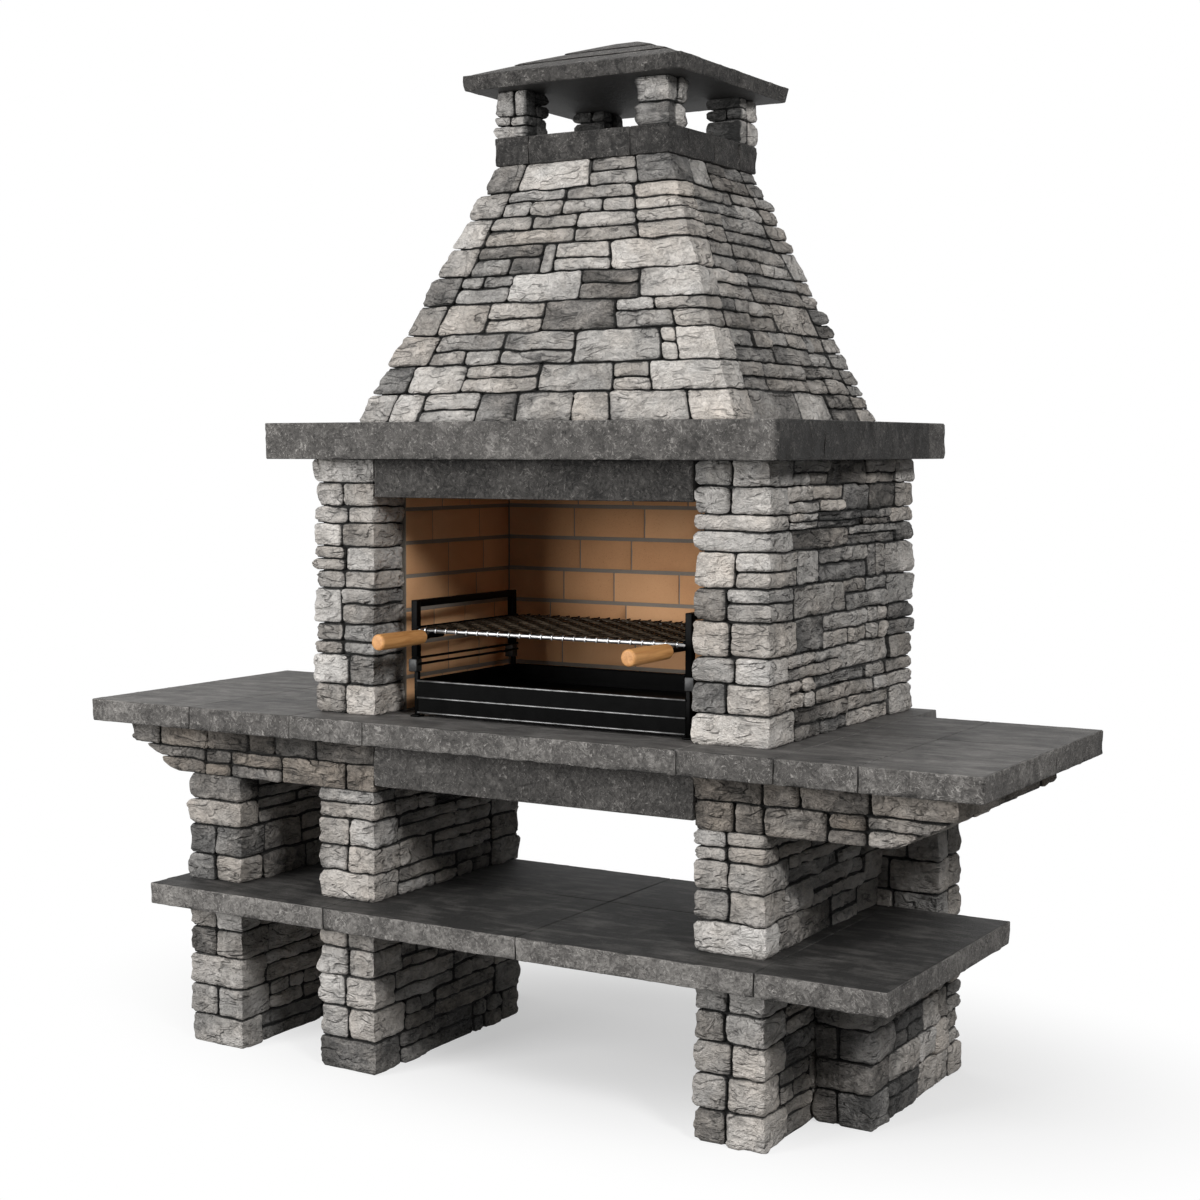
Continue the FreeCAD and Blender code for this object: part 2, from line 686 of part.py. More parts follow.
def build_tray():
    """Folded charcoal tray with slots that let ash through, and its bright front rims."""
    body = doc.addObject("PartDesign::Body", "charcoal_tray")
    pad(body, "tray_block", rectangle_corners("0", "tray_width", "0", "tray_depth"), "tray_wall_height")
    inside = rectangle_corners("sheet", "tray_width - sheet", "sheet", "tray_depth - sheet")
    pocket_up(body, "tray_inside", inside, "tray_wall_height", "sheet")
    first = f"tray_width / 2 - ash_slot_pitch * {ASH_SLOTS - 1} / 2 - ash_slot_width / 2"
    slot = rectangle_corners(first, f"{first} + ash_slot_width",
                             "(tray_depth - ash_slot_length) / 2", "(tray_depth + ash_slot_length) / 2")
    cut = pocket_up(body, "ash_slot", slot, "sheet", "0")
    doc.recompute()
    pattern = body.newObject("PartDesign::LinearPattern", "ash_slots")
    pattern.Originals = [cut]
    pattern.Direction = (cut.Profile[0], ["H_Axis"])
    pattern.Occurrences = ASH_SLOTS
    bind(pattern, Length=f"ash_slot_pitch * {ASH_SLOTS - 1}")
    body.Tip = pattern
    place(body, "tray_left", "stand_front", "tray_under")
    finish(body, "charcoal_tray")
    rims = []
    for name, low in (("top", "tray_under + tray_wall_height - rim_bar"), ("low", "tray_under")):
        rims.append(block(f"rim_{name}", "tray_left", "tray_left + tray_width", "stand_front - rim_bar",
                          "stand_front", low, f"{low} + rim_bar"))
    group("tray_front_rims", rims)


def build_drawer():
    """Ash drawer of welded plates under the tray, with a full front and a bright lip to pull it by."""
    west, east = "drawer_left", "drawer_left + drawer_width"
    front, back = "stand_front + sheet", "stand_front + tray_depth"
    low, high = "drawer_floor + sheet", "drawer_box_top"
    plates = {
        "front": (west, east, "stand_front", front, "drawer_under", "drawer_front_top"),
        "floor": (west, east, front, back, "drawer_floor", low),
        "back": (west, east, f"{back} - sheet", back, low, high),
        "left": (west, f"{west} + sheet", front, f"{back} - sheet", low, high),
        "right": (f"{east} - sheet", east, front, f"{back} - sheet", low, high),
    }
    group("ash_drawer", [block(f"drawer_{side}_plate", *limits) for side, limits in plates.items()])
    lip = block("lip", west, east, "stand_front - rim_bar", "stand_front", "drawer_under",
                "drawer_under + rim_bar")
    finish(lip, "drawer_lip")


def build_grate():
    """Grate frame, long wires over it and cross wires woven below them."""
    frame = []
    for side, sign in (("left", -1), ("right", 1)):
        frame.append(rod(f"side_bar_{side}", ALONG_Y, f"kit_centre + {sign} * side_bar_half",
                         "grate_front - front_bar_diameter / 2", "grate_level", "side_bar_diameter",
                         "grate_depth + front_bar_diameter"))
    for end in ("grate_front", "grate_rear"):
        frame.append(rod(f"{end}_bar", ALONG_X, "kit_centre - grate_half", end, "grate_level",
                         "front_bar_diameter", "2 * grate_half"))
    group("grate_frame", frame)
    long_wires = []
    for step in range(LONG_WIRES):
        offset = f"wire_pitch * ({step} - {LONG_WIRES - 1} / 2)"
        long_wires.append(rod(f"long_wire_{step}", ALONG_Y, f"kit_centre + {offset}",
                              "grate_front - front_bar_diameter / 2", "long_wire_level", "wire_diameter",
                              "grate_depth + front_bar_diameter"))
    group("grate_long_wires", long_wires)
    cross_wires = []
    for step in range(CROSS_WIRES):
        y = between("grate_front", "grate_rear", step + 1, CROSS_WIRES + 1)
        cross_wires.append(rod(f"cross_wire_{step}", ALONG_X, "kit_centre - grate_half", y,
                               "cross_wire_level", "wire_diameter", "2 * grate_half"))
    group("grate_cross_wires", cross_wires)


def build_handles():
    """Turned wooden handles on round tangs under the grate's front bar."""
    for side, sign in (("left", -1), ("right", 1)):
        x = f"kit_centre + {sign} * handle_half"
        tang = rod(f"tang_{side}", ALONG_Y, x, "handle_rear - tang_insertion", "tang_level",
                   "tang_diameter", "tang_insertion + tang_exposed + tang_overlap")
        finish(tang, f"handle_tang_{side}")
        body = doc.addObject("PartDesign::Body", f"handle_{side}")
        bore = "tang_diameter / 2 + bore_gap"
        bore_depth = "tang_insertion + bore_gap"
        profile = [
            ("0", bore),
            ("0", "handle_rear_diameter / 2"),
            ("handle_length", "handle_front_diameter / 2"),
            ("handle_length", "0"),
            (bore_depth, "0"),
            (bore_depth, bore),
        ]
        turning = body.newObject("PartDesign::Revolution", "turning")
        turning.Profile = polygon_sketch(body, "half_section", profile)
        turning.ReferenceAxis = (turning.Profile[0], ["H_Axis"])
        doc.recompute()
        rounding = body.newObject("PartDesign::Fillet", "rounding")
        rounding.Base = (turning, rim_edges(turning.Shape, value(bore)))
        bind(rounding, Radius="handle_round")
        body.Placement.Rotation = TOWARDS_USER
        place(body, x, "handle_rear", "tang_level")
        finish(body, f"handle_{side}")


def rim_edges(shape, bore_radius):
    """Names of the round edges at a turned piece's outer ends."""
    names = []
    for index, edge in enumerate(shape.Edges, start=1):
        if isinstance(edge.Curve, Part.Circle) and edge.Curve.Radius > 1.5 * bore_radius:
            names.append(f"Edge{index}")
    return names


def check_and_write():
    """Stop on any failed object or bad shape, then write each sub-part."""
    doc.recompute()
    for item in doc.Objects:
        if {"Invalid", "Error"} & set(item.State):
            raise RuntimeError(f"{item.Label} failed: {item.State}")
    for item in subparts:
        if item.Shape.isNull() or not item.Shape.isValid():
            raise RuntimeError(f"{item.Label} has no sound shape")
    os.makedirs("parts", exist_ok=True)
    for item in subparts:
        item.Shape.exportStep(f"parts/{item.Label}.step")
    solids = sum(len(item.Shape.Solids) for item in subparts)
    print(f"{len(subparts)} sub-parts, {solids} solids")


sizes = fill_sheet("Sizes", {alias: str(number) for alias, number in SIZES.items()})
fill_sheet("Places", {alias: f"={linked(text)}" for alias, text in PLACES.items()})
build_piers()
build_shelf()
build_corbels()
build_worktop()
build_firebox()
build_mantel()
build_hood()
build_chimney()
build_stands()
build_side_frames()
build_tray()
build_drawer()
build_grate()
build_handles()
check_and_write()
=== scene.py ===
"""Studio scene of a masonry barbecue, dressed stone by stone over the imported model.

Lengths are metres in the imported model's frame: x to the user's right, y to the back, z up.
Plan outlines are walked with the inside of the wall on the left hand.
"""

import logging
import math
from dataclasses import dataclass, field, replace
from enum import Enum

import bpy
import numpy as np
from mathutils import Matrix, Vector


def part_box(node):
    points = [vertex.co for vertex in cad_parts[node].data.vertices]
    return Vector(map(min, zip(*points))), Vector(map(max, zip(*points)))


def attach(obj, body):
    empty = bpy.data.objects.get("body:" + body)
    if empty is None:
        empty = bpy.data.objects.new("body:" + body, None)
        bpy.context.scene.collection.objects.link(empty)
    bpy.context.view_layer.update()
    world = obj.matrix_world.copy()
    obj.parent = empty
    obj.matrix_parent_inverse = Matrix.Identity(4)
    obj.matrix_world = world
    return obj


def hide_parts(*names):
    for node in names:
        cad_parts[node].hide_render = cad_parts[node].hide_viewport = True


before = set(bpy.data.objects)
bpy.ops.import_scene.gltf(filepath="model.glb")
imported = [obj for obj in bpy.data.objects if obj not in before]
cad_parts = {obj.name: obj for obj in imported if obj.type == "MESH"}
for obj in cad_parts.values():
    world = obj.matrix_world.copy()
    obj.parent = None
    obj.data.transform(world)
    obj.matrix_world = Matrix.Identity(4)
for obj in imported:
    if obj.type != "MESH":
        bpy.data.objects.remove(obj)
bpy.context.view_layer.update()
log = logging.getLogger("barbecue")


# Shader writing

@dataclass(frozen=True)
class Mottle:
    """A noise: lumps to the metre, detail, twist, stretch by axis, and its shares in a finish's tone and height."""

    scale: float
    detail: float = 3.0
    twist: float = 0.0
    stretch: tuple = (1.0, 1.0, 1.0)
    tone: float = 0.0
    height: float = 0.0
    roughness: float = 0.6


class Wire:
    """A shader output that takes part in sums; each operator adds a Math node."""

    def __init__(self, bench: "Bench", socket: bpy.types.NodeSocket) -> None:
        """Keep the material's bench and the output."""
        self.bench = bench
        self.socket = socket

    def math(self, operation: str, *others: "Wire | float") -> "Wire":
        """Apply a Math node to this output and others."""
        return self.bench.node("ShaderNodeMath", {"operation": operation}, dict(enumerate((self, *others))))

    def __add__(self, other: "Wire | float") -> "Wire":
        """Sum."""
        return self.math("ADD", other)

    __radd__ = __add__

    def __sub__(self, other: "Wire | float") -> "Wire":
        """Difference."""
        return self.math("SUBTRACT", other)

    def __rsub__(self, other: float) -> "Wire":
        """Difference from a number."""
        return self.bench.node("ShaderNodeMath", {"operation": "SUBTRACT"}, {0: other, 1: self})

    def __mul__(self, other: "Wire | float") -> "Wire":
        """Product."""
        return self.math("MULTIPLY", other)

    __rmul__ = __mul__

    def __abs__(self) -> "Wire":
        """Size without sign."""
        return self.math("ABSOLUTE")

    def swing(self, share: float) -> "Wire":
        """How far the value is from one half, times a share."""
        return (self - 0.5) * share

    def ramp_up(self, low: float, high: float) -> "Wire":
        """Smooth step from 0 at low to 1 at high; low may be the larger."""
        sockets = {"Value": self, "From Min": low, "From Max": high}
        return self.bench.node("ShaderNodeMapRange", {"interpolation_type": "SMOOTHSTEP"}, sockets)


class Bench:
    """Writes one node tree."""

    def __init__(self, tree: bpy.types.NodeTree) -> None:
        """Start from an empty tree."""
        self.tree = tree
        tree.nodes.clear()

    def node(self, kind: str, settings: dict, sockets: dict, output: str | int = 0) -> "Wire | None":
        """Add a node.

        Args:
            kind: the node's type.
            settings: its properties, set first; "stops" fills a colour ramp.
            sockets: numbers, colours or wires by input name or index.
            output: the output that is wanted.
        Returns:
            The wire of that output, or None for a node without outputs.
        """
        made = self.tree.nodes.new(kind)
        for key, value in settings.items():
            if key == "stops":
                self._fill_ramp(made.color_ramp, value)
            else:
                setattr(made, key, value)
        for key, value in sockets.items():
            if isinstance(value, Wire):
                self.tree.links.new(value.socket, made.inputs[key])
            else:
                made.inputs[key].default_value = value
        return Wire(self, made.outputs[output]) if made.outputs else None

    @staticmethod
    def _fill_ramp(ramp: bpy.types.ColorRamp, stops: tuple) -> None:
        """Set a colour ramp's stops.

        Args:
            ramp: the colour ramp.
            stops: positions and colours, in order.
        """
        while len(ramp.elements) < len(stops):
            ramp.elements.new(1.0)
        for element, (position, colour) in zip(ramp.elements, stops):
            element.position = position
            element.color = (*colour, 1.0)

    def place(self, stretch: tuple[float, float, float] = (1.0, 1.0, 1.0)) -> Wire:
        """Object coordinates, stretched by a factor on each axis."""
        place = self.node("ShaderNodeTexCoord", {}, {}, "Object")
        return self.node("ShaderNodeMapping", {}, {"Vector": place, "Scale": stretch})

    def noise(self, mottle: Mottle) -> Wire:
        """Fractal noise from 0 to 1 over Object coordinates."""
        sockets = {"Vector": self.place(mottle.stretch), "Scale": mottle.scale, "Detail": mottle.detail,
                   "Roughness": mottle.roughness, "Distortion": mottle.twist}
        return self.node("ShaderNodeTexNoise", {}, sockets)

    def ramp(self, value: Wire, stops: tuple) -> Wire:
        """Colour by value."""
        return self.node("ShaderNodeValToRGB", {"stops": stops}, {"Fac": value})

    def mix(self, share: Wire | float, first: Wire | tuple, second: Wire | tuple, blend: str = "MIX") -> Wire:
        """Mix two colours.

        Args:
            share: the second colour's share.
            first: a wire or a plain colour.
            second: a wire or a plain colour.
            blend: the Mix node's way of blending.
        Returns:
            The mixed colour's wire.
        """
        settings = {"data_type": "RGBA", "blend_type": blend, "clamp_factor": True}
        colours = [c if isinstance(c, Wire) else (*c, 1.0) for c in (first, second)]
        return self.node("ShaderNodeMix", settings, {0: share, 6: colours[0], 7: colours[1]}, 2)

    def look(self) -> tuple[Wire, Wire, Wire, Wire]:
        """Read the piece's own attribute.

        Returns:
            Tone; warmth, which slabs use as painted shade on unworked faces; relief height, painted as shade and
            light; and how far the spot is on a worked face.
        """
        colour = self.node("ShaderNodeAttribute", {"attribute_name": "look"}, {}, "Color")
        shown = self.node("ShaderNodeAttribute", {"attribute_name": "look"}, {}, "Alpha")
        parts = [self.node("ShaderNodeSeparateColor", {}, {0: colour}, index) for index in range(3)]
        return (*parts, shown)

    def bump(self, height: Wire, depth: float) -> Wire:
        """Normal bent by a height from 0 to 1 that stands for a depth in metres."""
        sockets = {"Strength": 1.0, "Distance": depth, "Height": height}
        return self.node("ShaderNodeBump", {}, sockets, "Normal")

    def surface(self, sockets: dict) -> None:
        """Finish the material with a Principled shader."""
        shader = self.node("ShaderNodeBsdfPrincipled", {}, sockets)
        self.node("ShaderNodeOutputMaterial", {}, {"Surface": shader})


# Finishes

@dataclass(frozen=True)
class Finish:
    """A surface finish, with the record's slot it belongs to."""

    name: str
    slot: str

    def material(self) -> bpy.types.Material:
        """Make the finish's material at its first use.

        Returns:
            The material.
        """
        found = bpy.data.materials.get(self.name)
        if found is None:
            found = bpy.data.materials.new(self.name)
            found.use_nodes = True
            self.draw(Bench(found.node_tree))
        return found

    def draw(self, bench: Bench) -> None:
        """Write the material's nodes."""
        raise NotImplementedError


@dataclass(frozen=True)
class SplitStone(Finish):
    """Rough split stone: tone by stone, with painted highlights on crests and painted shade in hollows, under ledges
    and at joints.
    """

    stops: tuple = ((0.0, (0.033, 0.033, 0.032)), (0.30, (0.155, 0.151, 0.146)), (0.55, (0.381, 0.367, 0.350)),
                    (0.80, (0.614, 0.588, 0.558)), (1.0, (0.808, 0.776, 0.738)))
    warm: tuple = (1.0, 0.88, 0.76)
    blotch: Mottle = Mottle(13.0, tone=0.20)
    grain: Mottle = Mottle(140.0, 5.0, tone=0.22, height=0.10)
    # Crests and strokes paint pale highlights on their ridges through their tone shares.
    crests: Mottle = Mottle(30.0, 3.0, 1.1, (1.0, 1.0, 1.9), tone=0.09, height=0.40)
    strokes: Mottle = Mottle(80.0, 2.0, 1.6, (1.0, 1.0, 1.5), tone=0.10, height=0.15)
    crest_width: float = 0.20
    split: Mottle = Mottle(8.5, 2.5, 0.5, (1.0, 1.0, 3.2), height=0.95)
    ledge: tuple = (0.475, 0.525)
    crease_rise: tuple = (0.455, 0.493)
    crease_fall: tuple = (0.512, 0.497)
    # Painted shadow: how much the crease band under the broken ledges darkens the colour.
    crease_shadow: float = 0.20
    crease_deep: float = 0.25
    broken: Mottle = Mottle(19.0, 2.0)
    broken_range: tuple = (0.42, 0.58)
    rust: Mottle = Mottle(16.0, tone=0.7)
    # Painted shade and light from the relief's height: darker in hollows, paler on bumps.
    relief_shade_share: float = 0.38
    # Painted shade on each stone's rim towards the joints, where the gaps would shade it.
    joint_range: tuple = (0.56, 0.06)
    joint_rim_shade: float = 0.62
    matt: float = 0.93
    grain_gloss: float = 0.12
    gleam: float = 0.35
    depth: float = 0.0105

    def draw(self, bench: Bench) -> None:
        """Tone plus blotches and grain, with broken ledges and shallow chiselled hollows that bend the normal.

        Args:
            bench: writes the nodes.
        """
        tone, warmth, relief, shown = bench.look()
        blotch, grain, split = (bench.noise(mottle) for mottle in (self.blotch, self.grain, self.split))
        crests, strokes = (abs(bench.noise(mottle) - 0.5).ramp_up(self.crest_width, 0.0)
                           for mottle in (self.crests, self.strokes))
        broken = bench.noise(self.broken).ramp_up(*self.broken_range)
        ledges = split.ramp_up(*self.ledge)
        creases = split.ramp_up(*self.crease_rise) * split.ramp_up(*self.crease_fall) * broken
        # Painted light and shade in the colour: relief shade, crest highlights, crease shadows and joint rim shade.
        shade = (tone + blotch.swing(self.blotch.tone) + grain.swing(self.grain.tone)
                 + crests.swing(self.crests.tone) + strokes.swing(self.strokes.tone)
                 + relief.swing(self.relief_shade_share) - creases * self.crease_shadow
                 - shown.ramp_up(*self.joint_range) * self.joint_rim_shade)
        colour = bench.ramp(shade, self.stops)
        rust = warmth + bench.noise(self.rust).swing(self.rust.tone)
        colour = bench.mix(rust, colour, bench.mix(1.0, colour, self.warm, "MULTIPLY"))
        height = (crests * self.crests.height + strokes * self.strokes.height + grain * self.grain.height
                  + ledges * broken * self.split.height - creases * self.crease_deep)
        bench.surface({"Base Color": colour, "Roughness": self.matt - grain * self.grain_gloss,
                       "Specular IOR Level": self.gleam, "Normal": bench.bump(height, self.depth)})


@dataclass(frozen=True)
class CastSlab(Finish):
    """Dark cast stone: honed and streaked on top, rough with curling pale marks on its edges, a painted highlight on
    the arris and painted shade.
    """

    face: tuple = ((0.0, (0.022, 0.021, 0.020)), (0.5, (0.100, 0.095, 0.090)), (1.0, (0.210, 0.201, 0.191)))
    edge: tuple = ((0.0, (0.016, 0.015, 0.014)), (0.5, (0.122, 0.115, 0.108)), (1.0, (0.400, 0.380, 0.358)))
    blotch: Mottle = Mottle(7.0, 4.0, tone=0.62)
    patch: Mottle = Mottle(11.0, 5.0, 1.0, tone=1.1)
    grain: Mottle = Mottle(150.0, 5.0, tone=0.60, height=0.30)
    streak: Mottle = Mottle(22.0, 5.0, 0.6, (0.35, 1.6, 1.0), tone=1.5)
    swirl: Mottle = Mottle(62.0, 5.0, 1.2, tone=1.2, height=0.8)
    curls: Mottle = Mottle(36.0, 2.0, 1.8, tone=0.46, height=0.20)
    curl_bands: float = 5.0
    curl_width: float = 0.17
    relief_shade_share: float = 0.6
    # Painted highlight: a pale line along the arris between top and edge.
    arris_highlight: float = 0.55
    edge_dark: float = 0.03
    matt: float = 0.58
    grain_matt: float = 0.18
    edge_matt: float = 0.16
    gleam: float = 0.4
    top_relief: float = 0.20
    depth: float = 0.011

    def draw(self, bench: Bench) -> None:
        """Two ramps over the same noise, mixed by how far the spot is on a worked edge.

        Args:
            bench: writes the nodes.
        """
        tone, unworked_shade, relief, shown = bench.look()
        blotch, patch, grain, streak, swirl = (bench.noise(mottle) for mottle in (
            self.blotch, self.patch, self.grain, self.streak, self.swirl))
        bands = (bench.noise(self.curls) * self.curl_bands).math("FRACT")
        curls = abs(bands - 0.5).ramp_up(self.curl_width, 0.0)
        # Painted highlight where the rounding turns from top to edge; the relief term below paints shade and light on
        # the edges.
        arris = shown * (1.0 - shown) * 4.0
        base = tone + blotch.swing(self.blotch.tone) + grain.swing(self.grain.tone)
        # The unworked faces take the slab's painted shade from the look's second channel.
        top = bench.ramp(base - unworked_shade + streak.swing(self.streak.tone) + patch.swing(self.patch.tone), self.face)
        side = bench.ramp(base + swirl.swing(self.swirl.tone) + curls * self.curls.tone
                          + relief.swing(self.relief_shade_share) + arris * self.arris_highlight - self.edge_dark, self.edge)
        height = swirl * self.swirl.height + grain * self.grain.height + curls * self.curls.height
        height = height * (shown * (1.0 - self.top_relief) + self.top_relief)
        bench.surface({"Base Color": bench.mix(shown, top, side), "Specular IOR Level": self.gleam,
                       "Roughness": self.matt + grain * self.grain_matt + shown * self.edge_matt,
                       "Normal": bench.bump(height, self.depth)})


@dataclass(frozen=True)
class Firebrick(Finish):
    """Tan fired brick with fine pores."""

    stops: tuple = ((0.0, (0.400, 0.185, 0.080)), (0.5, (0.640, 0.335, 0.158)), (1.0, (0.760, 0.450, 0.240)))
    cloud: Mottle = Mottle(9.0, 4.0, tone=0.40)
    grain: Mottle = Mottle(210.0, 4.0, tone=0.25, height=0.6)
    pores: Mottle = Mottle(330.0, 1.0, tone=0.25, height=0.4)
    pore_range: tuple = (0.66, 0.74)
    matt: float = 0.86
    grain_matt: float = 0.1
    depth: float = 0.0015

    def draw(self, bench: Bench) -> None:
        """Tone by brick, with clouds, pores and a slight grain.

        Args:
            bench: writes the nodes.
        """
        tone, *_ = bench.look()
        cloud, grain = bench.noise(self.cloud), bench.noise(self.grain)
        pores = bench.noise(self.pores).ramp_up(*self.pore_range)
        shade = tone + cloud.swing(self.cloud.tone) + grain.swing(self.grain.tone) - pores * self.pores.tone
        height = grain * self.grain.height - pores * self.pores.height
        bench.surface({"Base Color": bench.ramp(shade, self.stops), "Roughness": self.matt + grain * self.grain_matt,
                       "Normal": bench.bump(height, self.depth)})


@dataclass(frozen=True)
class Mortar(Finish):
    """Sandy mortar in the joints."""

    dark: tuple = (0.006, 0.006, 0.006)
    pale: tuple = (0.020, 0.020, 0.019)
    sand: Mottle = Mottle(300.0, 4.0, tone=0.6)
    patch: Mottle = Mottle(12.0, tone=0.4)
    matt: float = 0.9
    sand_matt: float = 0.08
    depth: float = 0.0015

    def draw(self, bench: Bench) -> None:
        """Two greys over sand-sized noise.

        Args:
            bench: writes the nodes.
        """
        sand, patch = bench.noise(self.sand), bench.noise(self.patch)
        share = sand * self.sand.tone + patch * self.patch.tone
        bench.surface({"Base Color": bench.mix(share, self.dark, self.pale),
                       "Roughness": self.matt + sand * self.sand_matt, "Normal": bench.bump(sand, self.depth)})


@dataclass(frozen=True)
class Steel(Finish):
    """Steel, bare or under heat paint, with fine wear."""

    dark: tuple = (0.010, 0.010, 0.011)
    pale: tuple = (0.028, 0.028, 0.029)
    bare: float = 0.0
    matt: float = 0.34
    sheen: float = 0.03
    cloud: Mottle = Mottle(28.0, 4.0)
    cloud_range: tuple = (0.3, 0.7)
    cloud_matt: float = 0.22
    scale: Mottle = Mottle(420.0)
    scale_matt: float = 0.06
    depth: float = 0.0002

    def draw(self, bench: Bench) -> None:
        """Two tones over cloudy noise; the noise also varies the gloss.

        Args:
            bench: writes the nodes.
        """
        cloud, scale = bench.noise(self.cloud), bench.noise(self.scale)
        bench.surface({"Base Color": bench.mix(cloud.ramp_up(*self.cloud_range), self.dark, self.pale),
                       "Metallic": self.bare, "Specular IOR Level": self.sheen,
                       "Roughness": self.matt + cloud.swing(self.cloud_matt) + scale * self.scale_matt,
                       "Normal": bench.bump(scale, self.depth)})


@dataclass(frozen=True)
class TurnedWood(Finish):
    """Pale turned wood with its grain along the handle."""

    pale: tuple = (0.700, 0.360, 0.130)
    deep: tuple = (0.430, 0.170, 0.045)
    long: Mottle = Mottle(130.0, 4.0, 0.5, (1.0, 0.07, 1.0), tone=0.75, height=0.5)
    long_range: tuple = (0.30, 0.75)
    pores: Mottle = Mottle(900.0, 2.0, 0.0, (1.0, 0.05, 1.0), tone=0.2, height=0.5)
    pore_range: tuple = (0.60, 0.72)
    matt: float = 0.40
    long_matt: float = 0.2
    depth: float = 0.0004

    def draw(self, bench: Bench) -> None:
        """Long streaks along the turning and fine pores.

        Args:
            bench: writes the nodes.
        """
        long = bench.noise(self.long)
        pores = bench.noise(self.pores).ramp_up(*self.pore_range)
        share = long.ramp_up(*self.long_range) * self.long.tone + pores * self.pores.tone
        height = long * self.long.height - pores * self.pores.height
        bench.surface({"Base Color": bench.mix(share, self.pale, self.deep),
                       "Roughness": self.matt + long * self.long_matt, "Normal": bench.bump(height, self.depth)})


WALL_STONE = SplitStone("wall_stone", "split_stone")
DARK_SLAB = CastSlab("dark_slab", "cast_slab")
LINING_BRICK = Firebrick("lining_brick", "firebrick")
JOINT_SHADE = Mortar("joint_shade", "split_stone")
BRICK_MORTAR = Mortar("brick_mortar", "firebrick", (0.175, 0.152, 0.126), (0.300, 0.268, 0.230))
BLACK_STEEL = Steel("heat_paint", "black_steel", (0.0005, 0.0005, 0.0005), (0.0018, 0.0018, 0.0018))
RIM_STEEL = Steel("rubbed_rim", "bright_steel", (0.070, 0.070, 0.070), (0.190, 0.190, 0.190), 0.9, 0.36)
WIRE_STEEL = Steel("fired_wire", "black_steel", (0.018, 0.013, 0.009), (0.062, 0.047, 0.033), 0.5, 0.46)
GREY_STEEL = Steel("bare_sleeve", "black_steel", (0.022, 0.022, 0.022), (0.070, 0.070, 0.070), 0.7, 0.42)
RAIL_STEEL = Steel("polished_rail", "bright_steel", (0.300, 0.300, 0.300), (0.470, 0.470, 0.470), 1.0, 0.30)
BRIGHT_STEEL = Steel("bright_bar", "bright_steel", (0.560, 0.560, 0.560), (0.780, 0.780, 0.780), 1.0, 0.24)
HANDLE_WOOD = TurnedWood("handle_wood", "turned_wood")


# Relief

AXIS_PRIMES = (73856093, 19349663, 83492791)
SEED_PRIME = 2654435761
MIX_PRIME = 1274126177
WORD = np.int64(0xFFFFFFFF)
OCTAVE_STEP = 2.03
OCTAVE_HEIGHT = 0.5


def lattice(cells: np.ndarray, seed: int) -> np.ndarray:
    """Fixed number for each lattice cell: its three whole coordinates multiplied by primes and mixed.

    Args:
        cells: whole coordinates.
        seed: picks the numbers.
    Returns:
        Numbers from -1 to 1.
    """
    spread = cells * np.array(AXIS_PRIMES)
    mixed = spread[..., 0] ^ spread[..., 1] ^ spread[..., 2] ^ seed * SEED_PRIME
    mixed = ((mixed ^ mixed >> 13) & WORD) * MIX_PRIME & WORD
    return (mixed ^ mixed >> 16) / (WORD / 2) - 1


def lumps(points: np.ndarray, seed: int) -> np.ndarray:
    """Smooth noise: the eight lattice numbers round a point, weighted by smooth steps on each axis.

    Args:
        points: where it is wanted, one lump to the unit.
        seed: picks the lumps.
    Returns:
        Numbers from -1 to 1.
    """
    cells = np.floor(points).astype(np.int64)
    part = points - cells
    part = part * part * (3 - 2 * part)
    total = np.zeros(points.shape[:-1])
    for corner in np.ndindex(2, 2, 2):
        weight = np.where(np.array(corner) == 1, part, 1 - part).prod(axis=-1)
        total += weight * lattice(cells + np.array(corner), seed)
    return total


def rough(points: np.ndarray, seed: int, octaves: int = 3) -> np.ndarray:
    """Rough noise: lumps at doubling frequency and halving height."""
    return sum(lumps(points * OCTAVE_STEP ** step, seed + step) * OCTAVE_HEIGHT ** step for step in range(octaves))


def step_up(value: np.ndarray, low: float, high: float) -> np.ndarray:
    """Smooth step from 0 at low to 1 at high."""
    share = np.clip((value - low) / (high - low), 0, 1)
    return share * share * (3 - 2 * share)


# Surfaces

@dataclass
class Surface:
    """Points, four-sided faces, flat closing caps, the look of each point, and which points lie on a sharp arris."""

    points: np.ndarray
    quads: np.ndarray
    caps: list[np.ndarray]
    look: np.ndarray
    arris: np.ndarray


def ring_faces(around: int, rings: int, copies: int) -> tuple[np.ndarray, np.ndarray]:
    """Faces of closed grids: a quad between neighbours round and up, and a cap on the first and last ring.

    Args:
        around: points round each ring, counted anticlockwise from above.
        rings: rings from foot to head.
        copies: how many such grids follow each other.
    Returns:
        The quads and the caps, as point numbers.
    """
    grid = np.arange(around * rings).reshape(around, rings)
    turned = np.roll(grid, -1, axis=0)
    quads = np.stack([grid[:, :-1], turned[:, :-1], turned[:, 1:], grid[:, 1:]], -1).reshape(-1, 4)
    caps = np.stack([grid[::-1, 0], grid[:, -1]])
    shift = np.arange(copies)[:, None, None] * around * rings
    return (quads + shift).reshape(-1, 4), (caps + shift).reshape(-1, around)


PLAIN_LOOK = (0.5, 0.0, 0.5, 1.0)
END_GIRTH = 0.7
END_BULGE = 0.3
NEARLY_UPRIGHT = 0.9


def closed_grid(points: np.ndarray) -> Surface:
    """Close grids of points into a surface of one plain look.

    Args:
        points: indexed by grid, place round the ring and ring.
    Returns:
        The closed surface.
    """
    copies, around, rings, _ = points.shape
    quads, caps = ring_faces(around, rings, copies)
    flat = points.reshape(-1, 3)
    return Surface(flat, quads, [caps], np.tile(PLAIN_LOOK, (len(flat), 1)), np.zeros(len(flat), bool))


